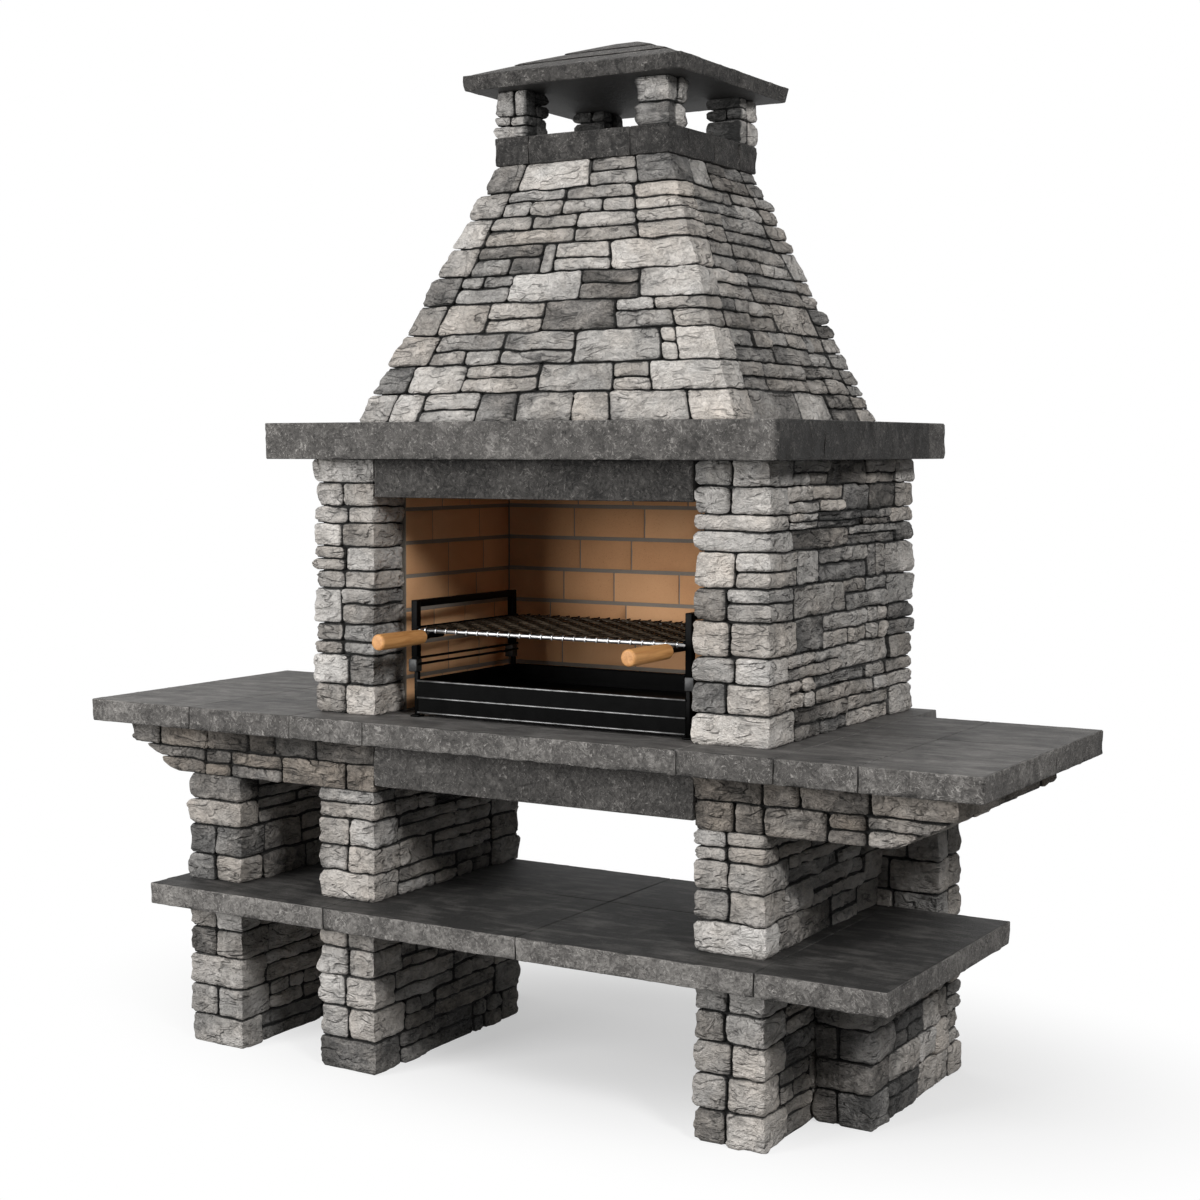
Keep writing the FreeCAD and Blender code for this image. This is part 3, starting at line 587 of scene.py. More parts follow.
def tubes(paths: np.ndarray, radius: float, sides: int = 8) -> Surface:
    """Round bars: circles of one radius set square to each path, with a smaller circle inside each end.

    Args:
        paths: points by bar and step, each bar lying in a plane or running straight.
        radius: the bar's radius.
        sides: points round the bar.
    Returns:
        The closed surface.
    """
    along = np.gradient(paths, axis=1)
    along /= np.linalg.norm(along, axis=-1, keepdims=True)
    paths = np.concatenate([paths[:, :1], paths, paths[:, -1:]], 1)
    along = np.concatenate([along[:, :1], along, along[:, -1:]], 1)
    girth = np.full(paths.shape[1], radius)
    girth[[0, -1]] = radius * END_GIRTH
    paths[:, 0] -= along[:, 0] * radius * END_BULGE
    paths[:, -1] += along[:, -1] * radius * END_BULGE
    helper = np.where(np.abs(along[..., 2:]) > NEARLY_UPRIGHT, [[[1.0, 0, 0]]], [[[0, 0, 1.0]]])
    side = np.cross(along, helper)
    side /= np.linalg.norm(side, axis=-1, keepdims=True)
    up = np.cross(side, along)
    angle = np.linspace(0, 2 * np.pi, sides, endpoint=False)[None, :, None, None]
    ring = np.cos(angle) * side[:, None] + np.sin(angle) * up[:, None]
    return closed_grid(paths[:, None] + ring[:, ::-1] * girth[None, None, :, None])


def turning(profile: np.ndarray, origin: np.ndarray, sides: int = 40) -> Surface:
    """A turned piece along -y: circles whose radius and distance from the origin follow the profile.

    Args:
        profile: distances towards the user and radii, in order.
        origin: where the distance is nought.
        sides: points round the turning.
    Returns:
        The closed surface.
    """
    angle = np.linspace(0, 2 * np.pi, sides, endpoint=False)[:, None]
    x = origin[0] + np.cos(angle) * profile[None, :, 1]
    z = origin[2] + np.sin(angle) * profile[None, :, 1]
    y = np.broadcast_to(origin[1] - profile[None, :, 0], x.shape)
    return closed_grid(np.stack([x, y, z], -1)[None])


@dataclass(frozen=True)
class Dressing:
    """How blocks are worked: edge rounding, joints, grid step, set-back, and the heights of their relief."""

    edge: float
    joint: float = 0.0
    perpend: float = 0.0
    step: float = 1.0
    recess: float = 0.0
    facet: float = 0.0
    relief: float = 0.0
    scallop: float = 0.0
    crack: float = 0.0
    spall: float = 0.0
    warp: float = 0.0
    lumps_per_metre: float = 30.0


SPLIT_FACE = Dressing(edge=0.0085, joint=0.0028, perpend=0.0034, step=0.010, recess=-0.0005, facet=0.05,
                      relief=0.0022, scallop=0.0036, crack=0.0025, spall=0.0040, warp=0.0026, lumps_per_metre=34.0)
ROUGH_EDGE = Dressing(edge=0.0022, joint=0.0009, perpend=0.0020, step=0.011, recess=0.002, relief=0.0030, spall=0.006,
                      lumps_per_metre=36.0)
SMOOTH_CAST = Dressing(edge=0.004, joint=0.002, perpend=0.002, step=0.025, relief=0.0007, spall=0.0025,
                       lumps_per_metre=20.0)
PRESSED = Dressing(edge=0.0016, joint=0.0090, perpend=0.0028, step=0.036, relief=0.0006, spall=0.0015,
                   lumps_per_metre=30.0)
FLUSH = Dressing(edge=0.0008)
BAR_STOCK = Dressing(edge=0.0013)
SLEEVE_STOCK = Dressing(edge=0.002)


@dataclass(frozen=True)
class Breaks:
    """What all worked faces share: lumps to the metre, ranges of their noise, and limits in metres."""

    edge_spread: tuple = (0.75, 1.25)
    edge_limit: float = 0.3
    facet_lift: float = 0.004
    facet_range: tuple = (-0.007, 0.003)
    facet_reach: float = 0.03
    hollow_lumps: tuple = (24, 24, 44)
    hollow_seed: int = 40
    ledge_lumps: tuple = (15, 15, 38)
    ledge_seed: int = 20
    ledge_range: tuple = (0.80, 1.0)
    chip_lumps: tuple = (26, 70)
    chip_seed: int = 30
    chip_fine: float = 0.5
    chip_range: tuple = (0.15, 0.75)
    height_range: tuple = (-0.0115, 0.0065)
    corner_from: float = 1.2
    corner_out: float = 0.3
    face_gain: float = 1.2
    relief_shade_spread: float = 2.2
    bend_lumps: tuple = (17, 44)
    bend_seeds: tuple = (70, 80)
    bend_fine: float = 0.7
    bend_fade: float = 0.03
    spread: float = 9.0


BREAKS = Breaks()


@dataclass
class Blocks:
    """Six-sided blocks by plan corners at foot and head; sides are outer, far end, inner and near end."""

    rows: list[tuple] = field(default_factory=list)

    def add(self, low: np.ndarray, high: np.ndarray, span: tuple, shown: tuple = (1, 1, 1, 1),
            beds: tuple = (0, 0), look: tuple = (0.5, 0.0), wear: tuple = (0.0, 1.0)) -> None:
        """Add one block.

        Args:
            low: its four plan corners at the foot.
            high: its four plan corners at the head.
            span: heights of foot and head.
            shown: which sides are in view, and so are worked.
            beds: whether a bed joint lies under and over it.
            look: tone and warmth; on slabs the second is painted shade on the unworked faces.
            wear: how far its shown sides are set back, and how much rougher than usual they are.
        """
        self.rows.append((low, high, span, shown, beds, look, wear))

    def box(self, low: tuple, high: tuple, **worked: tuple) -> None:
        """Add an upright box between two corners."""
        plan = Plan(low[0], high[0], low[1], high[1]).corners()
        self.add(plan, plan, (low[2], high[2]), **worked)

    @staticmethod
    def counts(size: np.ndarray, shown: np.ndarray, step: float) -> np.ndarray:
        """Count the grid points of each block.

        Args:
            size: length, depth and height by block.
            shown: which sides are in view; the others get two points.
            step: the grid's step.
        Returns:
            Even numbers for the outer side, far end, inner side, near end and height of each block.
        """
        rows = np.where(shown > 0, 2 * np.ceil(size[:, [0, 1, 0, 1]] / step / 2), 2)
        levels = np.where(shown.any(1), 2 * np.ceil(size[:, 2] / step / 2), 2)
        return np.maximum(np.column_stack([rows, levels]), 2).astype(int)

    @staticmethod
    def grids(lower: np.ndarray, upper: np.ndarray, edge: np.ndarray, counts: np.ndarray) -> tuple:
        """Rounded boxes of all blocks; those with alike grids are worked out together.

        Args:
            lower: lowest corners by block.
            upper: highest corners by block.
            edge: edge radii by block.
            counts: grid points by block.
        Returns:
            Points, ways out and block numbers by point, then the quads and the list of caps.
        """
        kinds, kind_of = np.unique(counts, axis=0, return_inverse=True)
        local, normal, owner, quads, caps, start = [], [], [], [], [], 0
        for number, kind in enumerate(kinds):
            chosen = np.flatnonzero(kind_of.reshape(-1) == number)
            points, ways_out = rounded_boxes(lower[chosen], upper[chosen], edge[chosen], kind)
            _, around, rings, _ = points.shape
            sides, ends = ring_faces(around, rings, len(chosen))
            quads.append(sides + start)
            caps.append(ends + start)
            start += points.size // 3
            local.append(points.reshape(-1, 3))
            normal.append(ways_out.reshape(-1, 3))
            owner.append(np.repeat(chosen, around * rings))
        return (*(np.concatenate(held) for held in (local, normal, owner, quads)), caps)

    @staticmethod
    def relief(dressing: Dressing, seed: int, rng: np.random.Generator, offset: np.ndarray, place: np.ndarray,
               owner: np.ndarray, rim: np.ndarray) -> np.ndarray:
        """Height of the breaks at each point.

        It is the lowest of three tilted planes, plus rough noise, less hollows with sharp crests, cracks along
        ledges and chips spalled off the edges.

        Args:
            dressing: how high each kind of break is.
            seed: picks the noise.
            rng: draws the planes and each block's spot in the noise.
            offset: points from their block's middle.
            place: points in the frame.
            owner: block numbers by point.
            rim: how far a point is round an edge.
        Returns:
            Heights in metres.
        """
        count = owner.max() + 1
        tilt = rng.normal(0, dressing.facet, (count, 3, 3))
        lift = rng.uniform(0, BREAKS.facet_lift, (count, 3))
        planes = (offset[:, None] * tilt[owner]).sum(2) + lift[owner]
        height = np.clip(planes.min(1), *BREAKS.facet_range) if dressing.facet else np.zeros(len(owner))
        spot = place + rng.uniform(0, BREAKS.spread, (count, 3))[owner]
        height = height + dressing.relief * rough(spot * dressing.lumps_per_metre, seed)
        hollow = np.minimum(np.abs(lumps(spot * BREAKS.hollow_lumps, seed + BREAKS.hollow_seed)) * 2, 1)
        height = height - dressing.scallop * (hollow - 0.5)
        ledge = 1 - np.abs(lumps(spot * BREAKS.ledge_lumps, seed + BREAKS.ledge_seed))
        height = height - dressing.crack * step_up(ledge, *BREAKS.ledge_range)
        coarse, fine = (lumps(spot * scale, seed + BREAKS.chip_seed + step)
                        for step, scale in enumerate(BREAKS.chip_lumps))
        chips = step_up(coarse + BREAKS.chip_fine * fine, *BREAKS.chip_range)
        return height - dressing.spall * chips * np.minimum(rim * 3, 1)

    def dress(self, dressing: Dressing, seed: int = 0) -> Surface:
        """Work the blocks into one surface.

        Each block is a grid on a box. A point moves to the rounded box, which is the box shrunk by the edge
        radius plus that radius along the way out. Points on shown sides then move out by the relief. The box
        is carried to the plan corners by blending them along, across and up, and a slow warp bends all joints
        together.

        Args:
            dressing: how the blocks are worked.
            seed: picks the relief.
        Returns:
            The surface.
        """
        low, high, span, shown, beds, look, wear = (np.array(held, float) for held in zip(*self.rows))
        rng = np.random.default_rng(seed)
        plan = (low + high) / 2
        sides = np.linalg.norm(np.roll(plan, -1, axis=1) - plan, axis=2)
        size = np.column_stack([(sides[:, :2] + sides[:, 2:]) / 2, span[:, 1] - span[:, 0]])
        inset = np.where(shown > 0, dressing.recess + wear[:, :1], dressing.perpend / 2)
        joint = beds * dressing.joint / 2
        lower = np.stack([inset[:, 3], inset[:, 0], joint[:, 0]], 1)
        upper = size - np.stack([inset[:, 1], inset[:, 2], joint[:, 1]], 1)
        edge = dressing.edge * rng.uniform(*BREAKS.edge_spread, len(span))
        edge = np.minimum(edge, BREAKS.edge_limit * (upper - lower).min(1))
        local, normal, owner, quads, caps = self.grids(lower, upper, edge, self.counts(size, shown, dressing.step))
        out = np.stack([-normal[:, 1], normal[:, 0], normal[:, 1], -normal[:, 0]], 1)
        worked = (np.maximum(out, 0) * (shown[owner] > 0)).sum(1)

        def carried(points: np.ndarray) -> np.ndarray:
            """Blend each block's plan corners by the point's share along, across and up.

            Args:
                points: points in their block's box.
            Returns:
                Points in the frame.
            """
            share = points / size[owner]
            u, v, w = share[:, :1], share[:, 1:2], share[:, 2:]
            weights = np.stack([(1 - u) * (1 - v), u * (1 - v), u * v, (1 - u) * v], 1)
            flat = (weights * ((1 - w)[:, None] * low[owner] + w[:, None] * high[owner])).sum(1)
            return np.concatenate([flat, span[owner, :1] + points[:, 2:]], 1)

        offset, rim = local - (size / 2)[owner], 1 - (normal ** 2).max(1)
        height = self.relief(dressing, seed, rng, offset, carried(local), owner, rim) * wear[owner, 1]
        height = np.clip(height, *BREAKS.height_range)
        arris = worked > BREAKS.corner_from
        moved = np.minimum(worked, 1) * height + arris * BREAKS.corner_out * edge[owner]
        place = carried(local + normal * moved[:, None])
        place[:, 2] = np.clip(place[:, 2], span[owner, 0], span[owner, 1])
        if dressing.warp:
            place = place + dressing.warp * bending(place, span[:, 0].min(), span[:, 1].max())
        reach = dressing.relief + BREAKS.facet_reach * dressing.facet + dressing.spall / 2 + 1e-6
        # Painted shade and light: the relief's height kept as a colour channel, low in hollows and high on bumps.
        relief_shade = np.clip(0.5 + height / (BREAKS.relief_shade_spread * reach), 0, 1)
        colours = np.column_stack([look[owner], relief_shade, np.minimum(worked * BREAKS.face_gain, 1)])
        return Surface(place, quads, caps, colours, arris)


def bending(place: np.ndarray, foot: float, head: float) -> np.ndarray:
    """Slow bending of a wall, the same for all its stones: lumps on each axis, level at foot and head.

    Args:
        place: points of the wall.
        foot: height of its foot.
        head: height of its head.
    Returns:
        The way that each point moves under a warp of 1.
    """
    slow, quick = (np.stack([lumps(place * scale, seed + axis) for axis in range(3)], 1)
                   for scale, seed in zip(BREAKS.bend_lumps, BREAKS.bend_seeds))
    moved = slow + BREAKS.bend_fine * quick
    below, above = (np.clip(rise / BREAKS.bend_fade, 0, 1) for rise in (place[:, 2] - foot, head - place[:, 2]))
    moved[:, 2] *= below * above
    return moved


def rounded_boxes(lower: np.ndarray, upper: np.ndarray, edge: np.ndarray, counts: np.ndarray) -> tuple:
    """Grids on boxes with rounded edges: each point is the nearest point of the shrunken box plus the edge radius.

    Args:
        lower: lowest corners by box.
        upper: highest corners by box.
        edge: edge radii by box.
        counts: points on the outer side, far end, inner side and near end, and levels.
    Returns:
        Points and the ways out of the box, by box, place round it and ring.
    """
    inside_low, inside_high = lower + edge[:, None], upper - edge[:, None]

    def stretch(axis: int, number: int) -> np.ndarray:
        """Even steps along one axis between the roundings."""
        return inside_low[:, axis, None] + (inside_high - inside_low)[:, axis, None] * np.linspace(0, 1, number)

    west, front, foot = (lower[:, axis, None] for axis in range(3))
    east, back, head = (upper[:, axis, None] for axis in range(3))
    outer, far, inner, near, levels = (int(number) for number in counts)
    u = np.concatenate([west, stretch(0, outer), east, np.repeat(east, far, 1), east,
                        stretch(0, inner)[:, ::-1], west, np.repeat(west, near, 1)], 1)
    v = np.concatenate([front, np.repeat(front, outer, 1), front, stretch(1, far), back,
                        np.repeat(back, inner, 1), back, stretch(1, near)[:, ::-1]], 1)
    w = np.concatenate([foot, foot, stretch(2, levels), head, head], 1)
    points = np.empty((*u.shape, w.shape[1], 3))
    points[..., 0], points[..., 1], points[..., 2] = u[:, :, None], v[:, :, None], w[:, None]
    inside = np.clip(points, inside_low[:, None, None], inside_high[:, None, None])
    points[:, :, [0, -1], :2] = inside[:, :, [0, -1], :2]
    way = points - inside
    way /= np.linalg.norm(way, axis=-1, keepdims=True)
    return inside + way * edge[:, None, None, None], way


# Pieces

@dataclass
class Piece:
    """One object: surfaces with their finishes, the body it rides on and the nodes it stands for."""

    name: str
    nodes: tuple[str, ...]
    body: str = "masonry"
    parts: list[tuple[Surface, Finish]] = field(default_factory=list)

    def add(self, surface: Surface, finish: Finish) -> "Piece":
        """Add a surface in a finish."""
        self.parts.append((surface, finish))
        return self

    def mesh(self, finishes: list[Finish]) -> bpy.types.Mesh:
        """Join the surfaces in one mesh, smooth but for caps and arrises.

        Args:
            finishes: the finishes in the order of the mesh's material slots.
        Returns:
            The mesh.
        """
        corners, sizes, slots, smooth, start = [], [], [], [], 0
        for surface, finish in self.parts:
            for faces, is_smooth in [(surface.quads, True)] + [(cap, False) for cap in surface.caps]:
                corners.append((faces + start).reshape(-1))
                sizes.append(np.full(len(faces), faces.shape[1]))
                slots.append(np.full(len(faces), finishes.index(finish)))
                smooth.append(np.full(len(faces), is_smooth))
            start += len(surface.points)
        corners, sizes = np.concatenate(corners), np.concatenate(sizes)
        points, look, arris = (np.concatenate([getattr(surface, held) for surface, _ in self.parts])
                               for held in ("points", "look", "arris"))
        mesh = bpy.data.meshes.new(self.name)
        mesh.vertices.add(len(points))
        mesh.vertices.foreach_set("co", points.astype(np.float32).reshape(-1))
        mesh.loops.add(len(corners))
        mesh.loops.foreach_set("vertex_index", corners.astype(np.int32))
        mesh.polygons.add(len(sizes))
        mesh.polygons.foreach_set("loop_start", (np.cumsum(sizes) - sizes).astype(np.int32))
        mesh.polygons.foreach_set("material_index", np.concatenate(slots).astype(np.int32))
        mesh.polygons.foreach_set("use_smooth", np.concatenate(smooth))
        attribute = mesh.attributes.new("look", "FLOAT_COLOR", "POINT")
        attribute.data.foreach_set("color", look.astype(np.float32).reshape(-1))
        mesh.update(calc_edges=True)
        ends = np.empty(2 * len(mesh.edges), np.int32)
        mesh.edges.foreach_get("vertices", ends)
        sharp = arris[ends.reshape(-1, 2)].all(axis=1)
        mesh.attributes.new("sharp_edge", "BOOLEAN", "EDGE").data.foreach_set("value", sharp)
        for finish in finishes:
            mesh.materials.append(finish.material())
        return mesh

    def make(self) -> None:
        """Make the object, fix it to its body and hide the nodes that it stands for."""
        finishes = list(dict.fromkeys(finish for _, finish in self.parts))
        made = bpy.data.objects.new(self.name, self.mesh(finishes))
        bpy.context.scene.collection.objects.link(made)
        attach(made, self.body)
        if self.nodes:
            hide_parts(*self.nodes)
        log.info("%s: %d faces on %s", self.name, len(made.data.polygons), self.body)


# Laying stones

@dataclass(frozen=True)
class Plan:
    """A rectangle in plan."""

    west: float
    east: float
    front: float
    back: float

    @classmethod
    def of(cls, *nodes: str) -> "Plan":
        """The rectangle round some nodes.

        Args:
            nodes: the nodes' names.
        Returns:
            The rectangle.
        """
        low = np.min([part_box(node)[0] for node in nodes], axis=0)
        high = np.max([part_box(node)[1] for node in nodes], axis=0)
        return cls(low[0], high[0], low[1], high[1])

    def corners(self) -> np.ndarray:
        """Front left, front right, back right, back left."""
        return np.array([(self.west, self.front), (self.east, self.front), (self.east, self.back),
                         (self.west, self.back)])

    def side(self, number: int) -> np.ndarray:
        """The two ends of a side, counted from the front round to the left."""
        return np.roll(self.corners(), -number, axis=0)[:2]

    def shrunk(self, west: float, east: float, front: float, back: float) -> "Plan":
        """The rectangle with its sides moved in."""
        return Plan(self.west + west, self.east - east, self.front + front, self.back - back)

    def inside(self, depth: float) -> "Plan":
        """The rectangle moved in alike on all sides."""
        return self.shrunk(depth, depth, depth, depth)

    def towards(self, other: "Plan", share: float) -> "Plan":
        """The rectangle part of the way to another."""
        mine, theirs = (np.array((plan.west, plan.east, plan.front, plan.back)) for plan in (self, other))
        return Plan(*(mine + (theirs - mine) * share))


def heights(*nodes: str) -> tuple[float, float]:
    """Lowest and highest point of some nodes."""
    return min(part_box(node)[0].z for node in nodes), max(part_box(node)[1].z for node in nodes)


class Face(Enum):
    """A wall's faces in the order in which its outline is walked; left and right are the barbecue's sides too."""

    FRONT = "front"
    RIGHT = "right"
    BACK = "back"
    LEFT = "left"

    @property
    def out(self) -> int:
        """The way out along x: -1 on the left, 1 on the right."""
        return {Face.LEFT: -1, Face.RIGHT: 1}.get(self, 0)


SIDES = (Face.LEFT, Face.RIGHT)


class Bond(Enum):
    """Ways to fill a stretch of a course."""

    WHOLE = "W"
    PAIR = "P"
    STACK = "S"
    LOW_PAIR = "L"
    HIGH_PAIR = "H"
    FOUR = "F"

    def stones(self, cut: float, other: float, bed: float) -> list[tuple[float, float, float, float]]:
        """Stones as start, end, foot and head, in shares of the stretch.

        Args:
            cut: where the lower or only upright joint is.
            other: where the upper upright joint is.
            bed: where the middle bed joint is.
        Returns:
            The stones.
        """
        low, high = (0.0, bed), (bed, 1.0)
        return {
            Bond.WHOLE: [(0, 1, 0, 1)],
            Bond.PAIR: [(0, cut, 0, 1), (cut, 1, 0, 1)],
            Bond.STACK: [(0, 1, *low), (0, 1, *high)],
            Bond.LOW_PAIR: [(0, cut, *low), (cut, 1, *low), (0, 1, *high)],
            Bond.HIGH_PAIR: [(0, 1, *low), (0, other, *high), (other, 1, *high)],
            Bond.FOUR: [(0, cut, *low), (cut, 1, *low), (0, other, *high), (other, 1, *high)],
        }[self]


class Tone(Enum):
    """How light a stone is."""

    PALE = "+"
    MIDDLE = "."
    DARK = "-"
    DEEP = "="

    def draw(self, rng: np.random.Generator) -> float:
        """Draw a tone from 0 to 1."""
        return rng.uniform(*{Tone.PALE: (0.725, 0.885), Tone.MIDDLE: (0.54, 0.69), Tone.DARK: (0.305, 0.445),
                             Tone.DEEP: (0.16, 0.28)}[self])


@dataclass(frozen=True)
class Stretch:
    """A stretch of a course: its width, bond and tone."""

    width: float
    bond: Bond
    tone: Tone

    @classmethod
    def read(cls, words: str) -> "list[Stretch]":
        """Read stretches written as width, bond letter and tone sign, such as "90W. 170S+"."""
        return [cls(float(word[:-2]), Bond(word[-2]), Tone(word[-1])) for word in words.split()]


@dataclass(frozen=True)
class Quarry:
    """Which stones a wall is built of: shares of bonds, stretch lengths, tones, warmth, depth and roughness."""

    bonds: tuple = (0.26, 0.10, 0.26, 0.14, 0.14, 0.10)
    shortest: float = 0.09
    longest: float = 0.21
    pale: float = 0.42
    dark: float = 0.20
    warmth: tuple = (0.0, 0.40)
    set_back: float = 0.002
    ragged: float = 1.0
    darkest: Tone = Tone.DARK

    def bond(self, rng: np.random.Generator) -> Bond:
        """Draw a bond."""
        return list(Bond)[rng.choice(len(self.bonds), p=self.bonds)]

    def tone(self, rng: np.random.Generator) -> Tone:
        """Draw a tone."""
        draw = rng.random()
        return Tone.PALE if draw < self.pale else self.darkest if draw > 1 - self.dark else Tone.MIDDLE


NARROW = Quarry(bonds=(0.24, 0.60, 0.04, 0.05, 0.05, 0.02), shortest=0.3, longest=0.5, pale=0.50, dark=0.14)
LONG_SIDE = Quarry(bonds=(0.22, 0.02, 0.40, 0.13, 0.13, 0.10), shortest=0.13, longest=0.26, pale=0.46, dark=0.22,
                   set_back=0.006, ragged=1.45)
DARK_SIDE = Quarry(bonds=(0.30, 0.02, 0.32, 0.13, 0.13, 0.10), shortest=0.13, longest=0.26, pale=0.0, dark=0.75,
                   darkest=Tone.DEEP)
HOOD_FIELD = Quarry(bonds=(0.30, 0.02, 0.36, 0.12, 0.12, 0.08), shortest=0.13, longest=0.24, pale=0.36, dark=0.26)
HOOD_SIDE = replace(HOOD_FIELD, set_back=0.005, ragged=1.35)
CORBEL_FIELD = Quarry(bonds=(0.62, 0.10, 0.08, 0.10, 0.10, 0.0), shortest=0.10, longest=0.20, pale=0.32, dark=0.22,
                      warmth=(0.30, 0.85))
POST_FIELD = Quarry(bonds=(0.50, 0.30, 0.0, 0.10, 0.10, 0.0), shortest=0.3, longest=0.5, pale=0.35, dark=0.10,
                    warmth=(0.0, 0.1))
BED_DEPTH = 0.0175


@dataclass
class Mason:
    """Lays stones run by run into blocks, keeping upright joints apart from those below."""

    seed: int
    depth_seed: int = 500
    draws: int = 10
    width_spread: tuple = (0.55, 1.45)
    lone_gap: float = 0.05
    cut_range: tuple = (0.36, 0.62)
    bed_range: tuple = (0.42, 0.58)
    course_spread: tuple = (0.9, 1.1)
    shortest_run: float = 1e-4

    def __post_init__(self) -> None:
        """Start with no stones laid."""
        self.rng = np.random.default_rng(self.seed)
        self.depths = np.random.default_rng(self.seed + self.depth_seed)
        self.blocks = Blocks()
        self.last_cuts: dict[Face, np.ndarray] = {}

    def cuts(self, face: Face, length: float, quarry: Quarry) -> np.ndarray:
        """Draw a run's stretches as shares of its length; of all draws, take the furthest from the joints below.

        Args:
            face: the wall face that the run is on.
            length: the run's length.
            quarry: gives the stretches' lengths.
        Returns:
            Shares from 0 to 1.
        """
        below = self.last_cuts.get(face, np.array([-1.0]))
        best, best_gap = np.array([0.0, 1.0]), -1.0
        for _ in range(self.draws):
            number = max(1, round(length / self.rng.uniform(quarry.shortest, quarry.longest)))
            widths = self.rng.uniform(*self.width_spread, number)
            drawn = np.concatenate([[0.0], np.cumsum(widths / widths.sum())])
            drawn[-1] = 1.0
            gap = np.abs(drawn[1:-1, None] - below).min() if number > 1 else self.lone_gap
            if gap > best_gap:
                best, best_gap = drawn, gap
        self.last_cuts[face] = best[1:-1] if len(best) > 2 else np.array([-1.0])
        return best

    def run(self, face: Face, foot: list, head: list, span: tuple, depth: float, quarry: Quarry,
            quoins: tuple = (None, None), beds: tuple = (1, 1), layout: str = "", upright: bool = False) -> None:
        """Lay one course's run of stones.

        Args:
            face: the wall face that it is on.
            foot: its two ends in plan at the course's foot.
            head: its two ends in plan at the course's head.
            span: heights of foot and head.
            depth: the stones' depth into the wall.
            quarry: what stones to draw.
            quoins: depth of the corner stones at the near and far end, or None where there is no corner.
            beds: whether bed joints lie under and over the course.
            layout: the stretches, where they are not drawn from the quarry.
            upright: whether joints stay upright where foot and head differ in length.
        """
        foot, head = np.array(foot, float), np.array(head, float)
        length = np.linalg.norm(foot[1] - foot[0])
        inward = np.array([foot[0, 1] - foot[1, 1], foot[1, 0] - foot[0, 0]]) / length
        row = Stretch.read(layout) or [Stretch(width, quarry.bond(self.rng), quarry.tone(self.rng))
                                       for width in np.diff(self.cuts(face, length, quarry))]
        cuts = np.concatenate([[0.0], np.cumsum([stretch.width for stretch in row])])
        cuts = cuts / cuts[-1]
        for stretch, near, far in zip(row, cuts[:-1], cuts[1:]):
            cut, other = self.rng.uniform(*self.cut_range, 2)
            for start, end, low, high in stretch.bond.stones(cut, other, self.rng.uniform(*self.bed_range)):
                first, last = near + (far - near) * start, near + (far - near) * end
                at_near, at_far = first == 0 and quoins[0] is not None, last == 1 and quoins[1] is not None
                deep_near = quoins[0] if at_near else quoins[1] if at_far else depth
                deep_far = quoins[1] if at_far else quoins[0] if at_near else depth
                plans = []
                for share in (low, high):
                    line = foot + (head - foot) * share
                    base = head if upright else line
                    a, b = (line[round(at)] if at in (0, 1) else base[0] + (base[1] - base[0]) * at
                            for at in (first, last))
                    plans.append(np.array([a, b, b + inward * deep_far, a + inward * deep_near]))
                rise = span[1] - span[0]
                self.blocks.add(plans[0], plans[1], (span[0] + rise * low, span[0] + rise * high),
                                (1, at_far, 0, at_near), (beds[0] or low > 0, beds[1] or high < 1),
                                (stretch.tone.draw(self.rng), self.rng.uniform(*quarry.warmth)),
                                (self.depths.uniform(0, quarry.set_back), quarry.ragged))

    def ring(self, foot: Plan, head: Plan, span: tuple, depth: float, fields: tuple, quoins: tuple,
             beds: tuple = (1, 1), layout: str = "", upright: bool = False) -> None:
        """Lay one course all round a rectangle; the front and back runs take the corners.

        Args:
            foot: the outline at the course's foot.
            head: the outline at its head.
            span: heights of foot and head.
            depth: the stones' depth.
            fields: quarries for front, right, back and left.
            quoins: depths of the corner stones at front left, front right, back right and back left.
            beds: whether bed joints lie under and over the course.
            layout: the front's stretches, where they are not drawn.
            upright: whether joints in the front and back stay upright where foot and head differ.
        """
        for side, face in enumerate(Face):
            takes_corners = side % 2 == 0
            near, far = quoins[side], quoins[(side + 1) % 4]
            lines = []
            for plan in (foot, head):
                a, b = plan.side(side)
                way = (b - a) / np.linalg.norm(b - a)
                lines.append((a, b) if takes_corners else (a + way * near, b - way * far))
            if np.dot(lines[0][1] - lines[0][0], way) > self.shortest_run:
                pair = (near, far) if takes_corners else (None, None)
                self.run(face, *lines, span, depth, fields[side], pair, beds,
                         layout if face is Face.FRONT else "", upright and takes_corners)

    def courses(self, span: tuple, shares: np.ndarray) -> list[tuple]:
        """Divide a wall's height into courses.

        Args:
            span: heights of the wall's foot and head.
            shares: the courses' shares of the height, from the foot.
        Returns:
            Heights of each course's foot and head, and whether bed joints lie under and over it.
        """
        lines = span[0] + (span[1] - span[0]) * np.concatenate([[0], np.cumsum(shares) / np.sum(shares)])
        last = len(shares) - 1
        return [(ends, (step > 0, step < last)) for step, ends in enumerate(zip(lines[:-1], lines[1:]))]

    def even_courses(self, span: tuple, number: int) -> list[tuple]:
        """Divide a wall's height into nearly even courses."""
        return self.courses(span, self.rng.uniform(*self.course_spread, number))

    def surface(self) -> Surface:
        """The stones laid so far."""
        return self.blocks.dress(SPLIT_FACE, self.seed)


def core(plan: Plan, span: tuple, top: Plan | None = None) -> Surface:
    """The dark bed behind the stones, as one block.

    Args:
        plan: its outline at the foot.
        span: heights of foot and head.
        top: its outline at the head, where that differs.
    Returns:
        The surface.
    """
    blocks = Blocks()
    blocks.add(plan.corners(), (top or plan).corners(), span)
    return blocks.dress(FLUSH)


